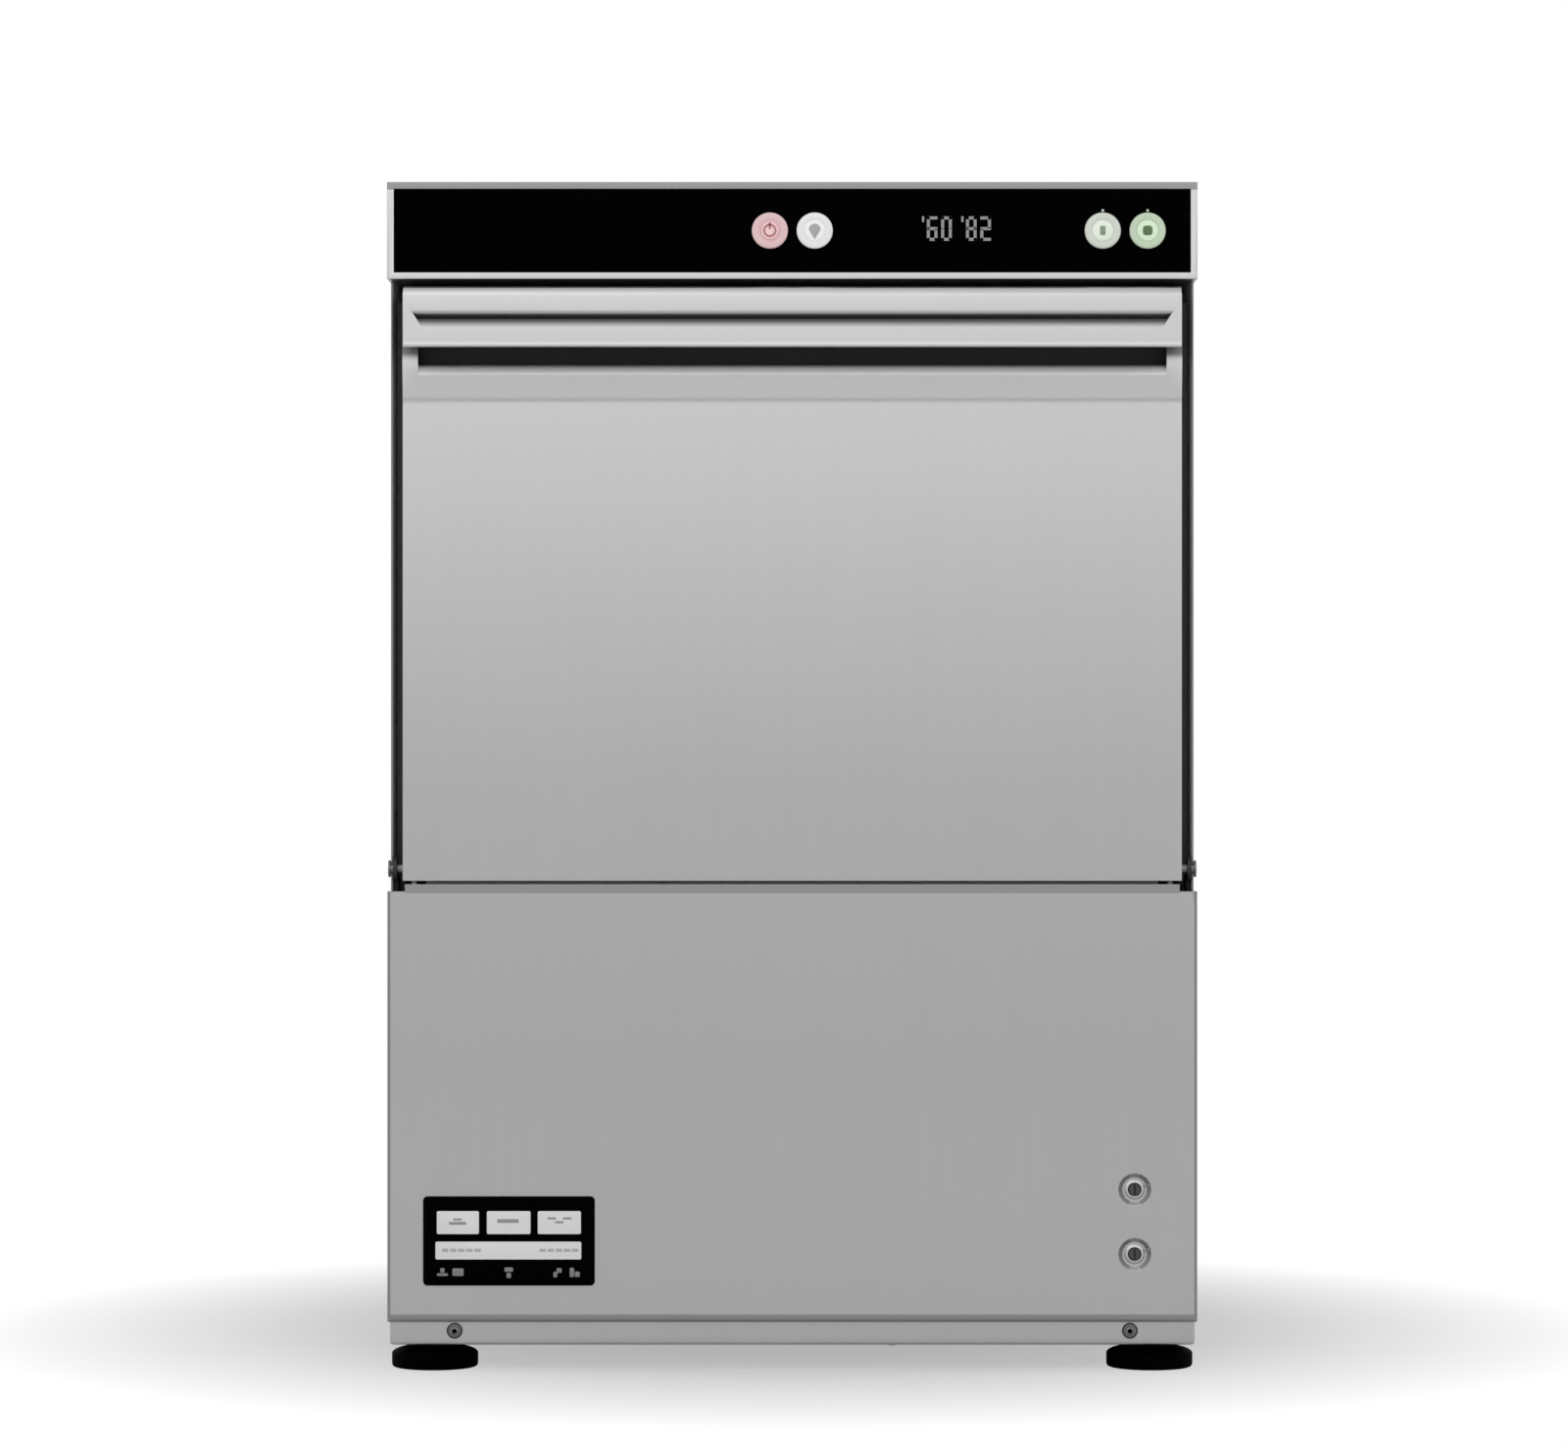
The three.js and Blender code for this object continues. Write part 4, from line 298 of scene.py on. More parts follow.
def moulded(name, base, roughness, specular, grain, depth):
    """Moulded plastic, rubber, paint or print: a matt or satin skin with the tool's fine grain."""
    stain_width = 35
    material, shader = new_material(name)
    place = add_node(material, "ShaderNodeTexCoord")
    skin = add_node(
        material, "ShaderNodeTexNoise", {}, {"Scale": 1 / (grain * MM), "Detail": 3.0, "Roughness": 0.55},
        {"Vector": (place, "Object")},
    )
    stain = add_node(
        material, "ShaderNodeTexNoise", {}, {"Scale": 1 / (stain_width * MM), "Detail": 2.0},
        {"Vector": (place, "Object")},
    )
    tone = add_node(
        material, "ShaderNodeValToRGB", {}, {}, {"Fac": (stain, "Fac")},
        ((0, tinted(base, 0.94)), (1, tinted(base, 1.05))),
    )
    rough = add_node(
        material, "ShaderNodeMapRange", {}, {"To Min": roughness - 0.06, "To Max": roughness + 0.08},
        {"Value": (skin, "Fac")},
    )
    bump = add_node(
        material, "ShaderNodeBump", {}, {"Strength": 0.25, "Distance": depth * MM},
        {"Height": (skin, "Fac")},
    )
    link(material, tone, "Color", shader, "Base Color")
    link(material, rough, "Result", shader, "Roughness")
    link(material, bump, "Normal", shader, "Normal")
    shader.inputs["Specular IOR Level"].default_value = specular
    shader.inputs["IOR"].default_value = 1.5
    return material


# painted light and shade on the door's sheet: darker towards the hinge, a darker line along the crease,
# lighter above it, and a painted shadow below the handle
DOOR_FADE = (
    (341, 0.87), (511, 0.98), (561.4, 1.0), (562.2, 0.94), (564.2, 0.94), (565.2, 1.17), (587, 1.17),
    (590.5, 0.35),
)
# painted light and shade on the rounded lip below the finger recess, darker at its foot and where it turns
# into the recess
LIP_FADE = ((577.3, 1.3), (578.4, 1.83), (580.6, 1.68), (582.0, 1.9), (583.3, 1.4))
# painted shade inside the handle's groove: darkest below its upper lip, lighter down its slope
GROOVE_FADE = ((603.2, 1.0), (606.9, 0.22), (609.2, 0.09), (610.0, 0.3), (611.2, 1.0))
# painted highlight along the handle's lower edge
HANDLE_FADE = ((592.5, 2.0), (593.0, 1.7), (594.6, 1.17), (596.0, 1.0))
# painted light and shade by height on the service panel and the plinth: lighter towards the floor, darker
# higher up
LOW_FADE = ((15, 1.07), (60, 1.05), (180, 0.96))

# Non-metal skins. Each row holds the finish, which is also its colour's name, the material's name, its
# roughness and specular level, and the width and depth of its grain.
SKINS = (
    # float glass, black enamel behind, anti-glare coat in front: deep black, faint soft mirror
    ("glass", "black_backed_glass", 0.13, 0.004, 60, 0.002),
    # polyester plate printed from behind: satin black
    ("plate", "printed_polyester_black", 0.45, 0.01, 0.6, 0.01),
    # light and grey print on that plate: an even satin
    ("print", "printed_polyester_light", 0.5, 0.3, 0.6, 0.01),
    ("faint", "printed_polyester_grey", 0.5, 0.3, 0.6, 0.01),
    # screen ink: thin, even and dull
    ("ink", "screen_ink_grey", 0.55, 0.3, 0.4, 0.01),
    ("pale_ink", "screen_ink_pale_grey", 0.55, 0.3, 0.4, 0.01),
    ("red", "screen_ink_red", 0.5, 0.3, 0.5, 0.01),
    ("moss", "screen_ink_green", 0.5, 0.3, 0.5, 0.01),
    ("fern", "screen_ink_pale_green", 0.5, 0.3, 0.5, 0.01),
    # cast segments of the display: dull light grey
    ("digits", "display_segments", 0.5, 0.2, 0.8, 0.01),
    # peroxide-cured EPDM: matt, slightly dusty black on the seal and hoses, and dark grey on the edge
    # trims, where that grey is painted shade of the gaps beside the door
    ("rubber", "epdm_rubber", 0.72, 0.3, 0.7, 0.04),
    ("trim", "epdm_dark_grey", 0.7, 0.3, 0.7, 0.03),
    # foil-faced butyl sheet on the inner faces of the side panels: dull light grey
    ("butyl", "butyl_sheet_grey", 0.75, 0.3, 1.2, 0.04),
    # painted shade inside the door's finger recess: satin charcoal
    ("cup", "abs_charcoal", 0.5, 0.3, 0.9, 0.03),
    # glass-filled polypropylene: matt black that swallows the light, or a plain satin grey
    ("black", "polypropylene_black", 0.62, 0.012, 0.9, 0.05),
    ("grey", "polypropylene_grey", 0.5, 0.4, 0.9, 0.04),
    # machined acetal rod, dyed through: satin dark grey
    ("stem", "acetal_dark_grey", 0.42, 0.3, 0.7, 0.02),
    # undyed polyamide: milky white with a soft gloss
    ("natural", "polyamide_natural", 0.45, 0.45, 0.9, 0.03),
    # stove-enamelled castings: thick satin paint
    ("motor", "motor_enamel", 0.4, 0.45, 2.2, 0.06),
    # closed-cell foam skin: dull with open pores
    ("jacket", "nitrile_foam", 0.85, 0.2, 1.6, 0.25),
    # glass-fibre epoxy under solder mask: glossy deep green
    ("board", "epoxy_board_green", 0.35, 0.5, 1.5, 0.02),
)


def make_materials():
    """Every finish of the washer, by name."""
    c = colours()
    steel = tuple(c.steel)
    finishes = {
        # 304 sheet brushed along the height: even grey, brighter where it faces the light
        "steel": brushed_steel("brushed_stainless_upright", steel, "Z"),
        # the same sheet brushed across, on the hood, top, shelf and arms
        "steel_across": brushed_steel("brushed_stainless_across", steel, "X", 0.34),
        # the same sheet, made darker as painted shade, on the service panel and the plinth
        "steel_low": brushed_steel("brushed_stainless_lower", tuple(c.low), "Z", 0.38, LOW_FADE),
        # the door's sheet, its recess lip, the handle and the handle's groove, each with painted light and
        # shade by height
        "steel_door": brushed_steel("brushed_stainless_door", steel, "Z", 0.36, DOOR_FADE),
        "lip": brushed_steel("brushed_stainless_lip", steel, "X", 0.8, LIP_FADE),
        "steel_handle": brushed_steel("brushed_stainless_handle", steel, "X", 0.36, HANDLE_FADE),
        "groove": brushed_steel("brushed_stainless_groove", steel, "X", 0.4, GROOVE_FADE),
        # a darker copy of the sheet: painted shade on the folds, the hem and the drip strip
        "mill": brushed_steel("mill_finish_stainless", tuple(c.mill), "X", 0.5),
        # deep-drawn tank sheet, pickled after welding: duller and greyer
        "tank": brushed_steel("pickled_stainless_tank", tinted(steel, 0.92)[:3], "Y", 0.42),
        # drawn and turned bar and wire: brighter, small highlights
        "bright": fine_metal("turned_stainless", tuple(c.bright), 0.24),
        # zinc-plated fasteners: greyer than the sheet, with a dull sheen
        "zinc": fine_metal("zinc_plated_steel", tuple(c.zinc), 0.42, 0.6),
        # blackened hinge brackets and screw seats: nearly no reflection
        "dark": fine_metal("blackened_steel", tuple(c.dark), 0.55, 1.5),
        # forged and machined brass: a warm, clear sheen
        "brass": fine_metal("machined_brass", tuple(c.brass), 0.3, 1.0),
    }
    for finish, name, *skin in SKINS:
        finishes[finish] = moulded(name, tuple(getattr(c, finish)), *skin)
    for finish, tint in (("pink", "pink"), ("white", "white"), ("pale", "pale_green"), ("green", "green")):
        # diffused acrylic lenses: soft gloss and an even milky tint, with a frosted rim
        rim = finish + "_rim"
        finishes[finish] = moulded("milky_acrylic_" + tint, tuple(getattr(c, finish)), 0.3, 0.4, 1.2, 0.01)
        finishes[rim] = moulded("frosted_acrylic_" + tint, tuple(getattr(c, rim)), 0.5, 0.3, 0.8, 0.03)
    return finishes


# the finishes by name, made once the colours are registered
FINISH = {}


# modelling helpers


def deselect():
    """Goes back to object mode with nothing selected."""
    if bpy.context.object and bpy.context.object.mode != "OBJECT":
        bpy.ops.object.mode_set(mode="OBJECT")
    for item in bpy.context.selected_objects:
        item.select_set(False)


def take(piece):
    """Makes one object the only selected and active one."""
    deselect()
    piece.select_set(True)
    bpy.context.view_layer.objects.active = piece


@contextmanager
def editing(piece, kind="VERT", chosen=None):
    """Opens a piece in edit mode with all of it selected, or the edges or faces that a test chooses."""
    take(piece)
    bpy.ops.object.mode_set(mode="EDIT")
    bpy.ops.mesh.select_mode(type=kind)
    bpy.ops.mesh.select_all(action="DESELECT" if chosen else "SELECT")
    if chosen:
        mesh = bmesh.from_edit_mesh(piece.data)
        for item in mesh.edges if kind == "EDGE" else mesh.faces:
            item.select_set(chosen(item))
        bmesh.update_edit_mesh(piece.data)
    yield
    bpy.ops.mesh.select_mode(type="VERT")
    bpy.ops.object.mode_set(mode="OBJECT")


def level_with(a, b, z, reach=NEAR):
    """Whether both ends of an edge lie at one level."""
    return max(abs(a.z - z), abs(b.z - z)) < reach


def round_edges(piece, radius, chosen, segments=5):
    """Rounds the edges that a test of their two ends chooses, all in millimetres."""
    with editing(piece, "EDGE", lambda edge: chosen(*(end.co / MM for end in edge.verts))):
        bpy.ops.mesh.bevel(offset=radius * MM, segments=segments, affect="EDGES", clamp_overlap=True)


def cut_across(piece, place, normal=(0, 0, 1), chosen=None):
    """Cuts a piece's faces, or the chosen ones, where a plane crosses them: a level one, if not told."""
    test = chosen and (lambda face: chosen(face.calc_center_median() / MM, face.normal))
    with editing(piece, "FACE", test):
        bpy.ops.mesh.bisect(plane_co=tuple(n * place * MM for n in normal), plane_no=normal)


def draw_out(piece, way):
    """Draws a flat outline out into a solid along a way in millimetres."""
    with editing(piece):
        bpy.ops.mesh.extrude_region_move(TRANSFORM_OT_translate={"value": tuple(step * MM for step in way)})
        bpy.ops.mesh.select_all(action="SELECT")
        bpy.ops.mesh.normals_make_consistent(inside=False)


def soften(piece, width, segments, angle):
    """Adds a rounding of every edge sharper than an angle in degrees. The width is in millimetres."""
    rounding = piece.modifiers.new("Round", "BEVEL")
    rounding.width = width * MM
    rounding.segments = segments
    rounding.limit_method = "ANGLE"
    rounding.angle_limit = math.radians(angle)


def apply_all(piece):
    """Applies a piece's modifiers in their order."""
    take(piece)
    for modifier in list(piece.modifiers):
        bpy.ops.object.modifier_apply(modifier=modifier.name)


def set_down(piece, name, finish, body, smooth=32):
    """Applies place and modifiers, shades, paints and fixes a piece to its body."""
    apply_all(piece)
    bpy.ops.object.transform_apply(location=True, rotation=True, scale=True)
    bpy.ops.object.shade_smooth_by_angle(angle=math.radians(smooth))
    piece.name = name
    piece.data.name = name
    piece.data.materials.clear()
    piece.data.materials.append(FINISH[finish])
    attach(piece, body)
    return piece


def dressed(node, name, finish, slot, edge=0.35, segments=2, smooth=32, shape=None):
    """A node's solid with merged faces and rounded edges, which stands for it.

    The edge is the radius of its edges. The shape, where one is given, is a function that works on the
    merged solid before the rounding.
    """
    deselect()
    source = NODES[node]
    piece = bpy.data.objects.new(name, source.data.copy())
    bpy.context.scene.collection.objects.link(piece)
    with editing(piece):
        bpy.ops.mesh.remove_doubles(threshold=0.004 * MM)
        bpy.ops.mesh.dissolve_limited(angle_limit=math.radians(0.3))
    if shape:
        shape(piece)
    # faces that go round a hole or a corner are split, so that none overlaps itself once rounded
    with editing(piece):
        bpy.ops.mesh.vert_connect_concave()
    soften(piece, edge, segments, 30)
    set_down(piece, name, finish, source["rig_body"], smooth)
    even = piece.modifiers.new("Even", "WEIGHTED_NORMAL")
    even.keep_sharp = True
    apply_all(piece)
    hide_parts(node)
    return piece


def dress_all(rows):
    """Dresses the nodes of a table. Each row holds what dressed asks for."""
    for row in rows:
        dressed(*row)


def paint(piece, finish, chosen):
    """Gives the faces that a test of middle and normal chooses a finish of their own."""
    piece.data.materials.append(FINISH[finish])
    place = len(piece.data.materials) - 1
    for face in piece.data.polygons:
        if chosen(face.center / MM, face.normal):
            face.material_index = place


# how a piece that stands along Z is laid, so that its end faces a direction
LAID = {
    "Z": (0, 0, 0), "X": (0, math.pi / 2, 0), "-X": (0, -math.pi / 2, 0),
    "Y": (-math.pi / 2, 0, 0), "-Y": (math.pi / 2, 0, 0),
}


def turned(name, finish, body, centre, axis, profile, closed=False, sides=48, smooth=38):
    """A round piece: a circle drawn out step by step along its axis.

    The profile holds pairs of radius and height in millimetres. A closed one makes a ring.
    """
    deselect()
    radius, height = profile[0]
    bpy.ops.mesh.primitive_circle_add(
        vertices=sides, radius=radius * MM, fill_type="NOTHING" if closed else "NGON",
        location=(0, 0, height * MM),
    )
    piece = bpy.context.object
    bpy.ops.object.transform_apply(location=True)
    with editing(piece):
        for new_radius, new_height in profile[1:] + (profile[:1] if closed else []):
            bpy.ops.mesh.extrude_region_move(
                TRANSFORM_OT_translate={"value": (0, 0, (new_height - height) * MM)}
            )
            share = new_radius / radius
            bpy.ops.transform.resize(
                value=(share, share, 1), orient_type="GLOBAL", center_override=(0, 0, new_height * MM)
            )
            radius, height = new_radius, new_height
        bpy.ops.mesh.select_all(action="SELECT")
        bpy.ops.mesh.remove_doubles(threshold=0.001 * MM)
        bpy.ops.mesh.normals_make_consistent(inside=False)
    piece.rotation_euler = LAID[axis]
    piece.location = Vector(centre) * MM
    return set_down(piece, name, finish, body, smooth)


def tablet(name, finish, body, x, z, y, depth, corner=0.8, edge=0.08):
    """A thin rounded rectangle that faces forward at y, where x and z hold its two limits.

    The corner is the radius of its four corners and the edge that of its rims.
    """
    deselect()
    width, height = x[1] - x[0], z[1] - z[0]
    bpy.ops.mesh.primitive_plane_add(size=1, rotation=(math.pi / 2, 0, 0))
    piece = bpy.context.object
    piece.scale = (width * MM, height * MM, 1)
    bpy.ops.object.transform_apply(rotation=True, scale=True)
    with editing(piece):
        bpy.ops.mesh.bevel(
            offset=min(corner, width * 0.49, height * 0.49) * MM, segments=4, affect="VERTICES"
        )
    draw_out(piece, (0, depth, 0))
    soften(piece, edge, 2, 40)
    piece.location = (sum(x) / 2 * MM, y * MM, sum(z) / 2 * MM)
    return set_down(piece, name, finish, body)


def joined(pieces, name):
    """Several meshes of one finish made one piece."""
    deselect()
    for piece in pieces:
        piece.select_set(True)
    bpy.context.view_layer.objects.active = pieces[0]
    bpy.ops.object.join()
    pieces[0].name = name
    pieces[0].data.name = name
    return pieces[0]


def printed(name, finish, places, y, corner, edge=0.02):
    """Flat marks of one finish on the cabinet, made one piece. Each place holds its x and z limits."""
    depth = sizes().mark / MM
    return joined(
        [tablet("mark", finish, "cabinet", x, z, y, depth, corner, edge) for x, z in places], name
    )


def socket_screw(name, body, centre, axis, radius, finish="bright", key_share=0.42):
    """A domed screw with a hexagon socket, seated on its washer."""
    # shares of the radius, and heights
    outline = (
        (1.32, 0), (1.32, 0.35), (1.2, 0.5), (1, 0.5), (1, 0.9), (0.93, 1.45), (0.74, 1.95), (0.55, 2.15)
    )
    dome = [(radius * share, height) for share, height in outline]
    piece = turned(name, finish, body, centre, axis, dome + [(TIP, 2.25)], sides=36)
    across = radius * key_share
    key = turned(name + "_key", finish, body, centre, axis, [(across, 0.9), (across, 3.2)], sides=6)
    socket = piece.modifiers.new("Socket", "BOOLEAN")
    socket.operation = "DIFFERENCE"
    socket.object = key
    apply_all(piece)
    bpy.data.objects.remove(key)
    take(piece)
    bpy.ops.object.shade_smooth_by_angle(angle=math.radians(30))
    return piece


def middle(node):
    """The middle of a node's box, in millimetres."""
    low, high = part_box(node)
    return [(a + b) / 2 / MM for a, b in zip(low, high)]


def front(node):
    """The y of a node's foremost point, in millimetres."""
    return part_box(node)[0].y / MM


# stage


class WASHER_OT_stage(bpy.types.Operator):
    """Sets the camera, the pale floor and the soft studio light"""

    bl_idname = "washer.stage"
    bl_label = "Stage"

    def execute(self, context):
        deselect()
        scene = context.scene
        scene.view_settings.view_transform = "Standard"
        camera_data = bpy.data.cameras.new("Photo_camera")
        camera_data.sensor_width = 36
        camera_data.lens = 118.8
        camera_data.shift_x = 0.0
        camera_data.shift_y = 0.034
        camera_data.clip_start = 0.05
        camera_data.clip_end = 60
        camera = bpy.data.objects.new("Photo_camera", camera_data)
        scene.collection.objects.link(camera)
        camera.location = (-0.0048, -3.256, 0.345)
        camera.rotation_euler = (math.pi / 2, 0, 0)
        scene.camera = camera
        self.light_world(scene)
        # name, place, what it faces, width, height and watts, in metres
        for name, place, aim, wide, tall, watts in (
            ("Key_softbox", (-1.2, -2.6, 2.5), (0, 0, 0.4), 2.4, 2.4, 16),
            ("Fill_softbox", (1.9, -2.2, 1.6), (0, 0, 0.3), 2.0, 2.0, 7),
            ("Front_card", (0, -3.1, 1.35), (0, -0.25, 0.55), 3.4, 0.8, 11),
        ):
            data = bpy.data.lights.new(name, "AREA")
            data.shape = "RECTANGLE"
            data.size = wide
            data.size_y = tall
            data.energy = watts
            lamp = bpy.data.objects.new(name, data)
            scene.collection.objects.link(lamp)
            lamp.location = place
            lamp.rotation_euler = (Vector(aim) - Vector(place)).to_track_quat("-Z", "Y").to_euler()
        self.lay_floor()
        return {"FINISHED"}

    def light_world(self, scene):
        """White surroundings that light a little less than they show and mirror."""
        world = bpy.data.worlds.new("Studio")
        scene.world = world
        world.use_nodes = True
        background = world.node_tree.nodes["Background"]
        background.inputs["Color"].default_value = (1, 1, 1, 1)
        rays = add_node(world, "ShaderNodeLightPath")
        seen = add_node(
            world, "ShaderNodeMath", {"operation": "MAXIMUM"}, {},
            {0: (rays, "Is Camera Ray"), 1: (rays, "Is Transmission Ray")},
        )
        mirrored = add_node(
            world, "ShaderNodeMath", {"operation": "MAXIMUM"}, {},
            {0: (seen, "Value"), 1: (rays, "Is Glossy Ray")},
        )
        strength = add_node(
            world, "ShaderNodeMapRange", {}, {"To Min": 0.72, "To Max": 1.0}, {"Value": (mirrored, "Value")}
        )
        link(world, strength, "Result", background, "Strength")

    def lay_floor(self):
        """A matt white floor that fades out to pure white, with a painted soft shadow round the feet over
        part of its own real shadow.
        """
        bpy.ops.mesh.primitive_grid_add(x_subdivisions=8, y_subdivisions=8, size=24, location=(0, 0, 0))
        floor = bpy.context.object
        floor.name = "Studio_floor"
        material, shader = new_material("matt_painted_floor")
        shader.inputs["Base Color"].default_value = tuple(colours().floor) + (1.0,)
        shader.inputs["Roughness"].default_value = 0.9
        shader.inputs["Specular IOR Level"].default_value = 0.1
        place = add_node(material, "ShaderNodeTexCoord")
        reach = add_node(
            material, "ShaderNodeVectorMath", {"operation": "LENGTH"}, {}, {0: (place, "Object")}
        )
        fade = add_node(
            material, "ShaderNodeMapRange", {}, {"From Min": 0.15, "From Max": 0.53, "To Min": 0.72},
            {"Value": (reach, "Value")},
        )
        # painted shadow: grey near the washer, rising to white further out, as the camera sees it
        pool = add_node(
            material, "ShaderNodeMapRange", {}, {"From Min": 0.27, "From Max": 0.515, "To Min": 0.615},
            {"Value": (reach, "Value")},
        )
        rays = add_node(material, "ShaderNodeLightPath")
        white = add_node(
            material, "ShaderNodeEmission", {}, {"Color": (1, 1, 1, 1)}, {"Strength": (pool, "Result")}
        )
        share = add_node(
            material, "ShaderNodeMath", {"operation": "MULTIPLY"}, {},
            {0: (fade, "Result"), 1: (rays, "Is Camera Ray")},
        )
        mix = add_node(
            material, "ShaderNodeMixShader", {}, {},
            {0: (share, "Value"), 1: (shader, "BSDF"), 2: (white, "Emission")},
        )
        link(material, mix, "Shader", material.node_tree.nodes["Material Output"], "Surface")
        floor.data.materials.append(material)


# cabinet

# how far the service panel's front comes lower than its solid, and the height of that hem
HEM_DROP = 1.9
HEM_HEIGHT = 4.8
# the level above which the panel's top fold lies, and the y that it lies in front of
FOLD_LOW, FOLD_BACK = 277, -254
# x beyond which an edge lies on the cabinet's outer sides
OUTER_SIDE = 234.9


class WASHER_OT_cabinet(bpy.types.Operator):
    """Dresses the folded sheets of the cabinet and adds the drip strip"""

    bl_idname = "washer.cabinet"
    bl_label = "Cabinet sheets"

    def execute(self, context):
        dressed(
            "base_tray", "plinth_tray", "steel_low", "stainless", 0.5,
            shape=lambda piece: round_edges(piece, 2.0, self.rim_test(piece), 4),
        )
        fold_back = -245
        for side in ("left", "right"):
            skin = dressed("side_panel_" + side, "side_skin_" + side, "steel", "stainless", 0.5)
            # painted shade on the folded front edge, and the butyl sheet glued to the inner face
            paint(skin, "mill", lambda at, way: way.y < -0.3 and at.y < fold_back)
            paint(skin, "butyl", lambda at, way: abs(way.x) > 0.9 and way.x * at.x < 0)
        dressed("rear_panel", "rear_skin", "steel", "stainless", 0.3)
        dressed("top_cover", "top_skin", "steel_across", "stainless", 0.6)
        self.add_service_panel()
        self.add_drip_strip()
        return {"FINISHED"}

    def rim_test(self, piece):
        """A test that chooses the edges of a box-like piece's lower outer rim."""
        points = [corner.co / MM for corner in piece.data.vertices]
        foot = min(point.z for point in points)
        limits = [(axis, pick(point[axis] for point in points)) for axis in (0, 1) for pick in (min, max)]

        def on_rim(a, b):
            outer = any(max(abs(a[axis] - limit), abs(b[axis] - limit)) < NEAR for axis, limit in limits)
            return outer and level_with(a, b, foot)

        return on_rim

    def add_service_panel(self):
        """The lower front panel, with painted shade on its folds."""
        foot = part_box("lower_front_panel")[0].z / MM
        face = front("lower_front_panel")
        hem = foot - HEM_DROP
        panel = dressed(
            "lower_front_panel", "service_panel", "steel_low", "stainless", 0.9,
            shape=lambda piece: self.fold_hem(piece, foot, hem, face),
        )

        def folded(at, way):
            in_hem = at.z < hem + HEM_HEIGHT and at.y < face + 4 and way.y < 0.2
            at_side = 0.25 < abs(way.x) < 0.9 and way.y < -0.4
            at_top = at.z > FOLD_LOW and at.y < FOLD_BACK and 0.2 < way.z < 0.95
            return in_hem or at_side or at_top

        # painted shade on the hem, the side roundings and the top fold
        paint(panel, "mill", folded)

    def fold_hem(self, piece, foot, hem, face):
        """Brings the panel's front down in front of the plinth and rounds its lower and side folds."""
        for corner in piece.data.vertices:
            point = corner.co / MM
            if abs(point.z - foot) < NEAR and point.y < face + NEAR:
                corner.co.z = hem * MM
        cut_across(piece, hem + HEM_HEIGHT)
        round_edges(
            piece, 2.8,
            lambda a, b: max(a.y, b.y) < face + NEAR
            and (level_with(a, b, hem) or abs(a.x + b.x) / 2 > OUTER_SIDE),
        )

    def add_drip_strip(self):
        """The folded strip that keeps drips off the service panel, between it and the door."""
        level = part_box("lower_front_panel")[1].z / MM
        y = front("lower_front_panel") - 0.1
        half, height, foot, sheet, drop = 224.6, 4.2, 9.0, 0.5, 1.0
        outline = [
            (0, -drop), (0.6, -drop), (1.1, 0), (foot, 0), (foot, sheet), (1.2, sheet), (1.2, height - 0.5),
            (0.8, height), (0, height),
        ]
        deselect()
        bpy.ops.mesh.primitive_circle_add(vertices=len(outline), fill_type="NGON")
        strip = bpy.context.object
        for corner, (back, up) in zip(strip.data.vertices, outline):
            corner.co = (-half * MM, (y + back) * MM, (level + up) * MM)
        draw_out(strip, (2 * half, 0, 0))
        # the strip's darker sheet is painted shade, for the gap below the door
        set_down(strip, "drip_strip", "mill", "cabinet")


# seven-segment digits: where each bar lies in a digit, and which bars are lit
DIGIT_WIDTH, DIGIT_HEIGHT, DIGIT_STROKE = 6.4, 14.4, 2.0
LEFT_BAR = (0, DIGIT_STROKE)
RIGHT_BAR = (DIGIT_WIDTH - DIGIT_STROKE, DIGIT_WIDTH)
UPPER_HALF = (DIGIT_HEIGHT / 2, DIGIT_HEIGHT)
LOWER_HALF = (0, DIGIT_HEIGHT / 2)
BARS = {
    "top": ((0, DIGIT_WIDTH), (DIGIT_HEIGHT - DIGIT_STROKE, DIGIT_HEIGHT)),
    "middle": ((0, DIGIT_WIDTH), ((DIGIT_HEIGHT - DIGIT_STROKE) / 2, (DIGIT_HEIGHT + DIGIT_STROKE) / 2)),
    "bottom": ((0, DIGIT_WIDTH), (0, DIGIT_STROKE)),
    "upper_left": (LEFT_BAR, UPPER_HALF),
    "upper_right": (RIGHT_BAR, UPPER_HALF),
    "lower_left": (LEFT_BAR, LOWER_HALF),
    "lower_right": (RIGHT_BAR, LOWER_HALF),
}
LIT = {
    "6": ("top", "middle", "bottom", "upper_left", "lower_left", "lower_right"),
    "0": ("top", "bottom", "upper_left", "upper_right", "lower_left", "lower_right"),
    "8": tuple(BARS),
    "2": ("top", "middle", "bottom", "upper_right", "lower_left"),
}


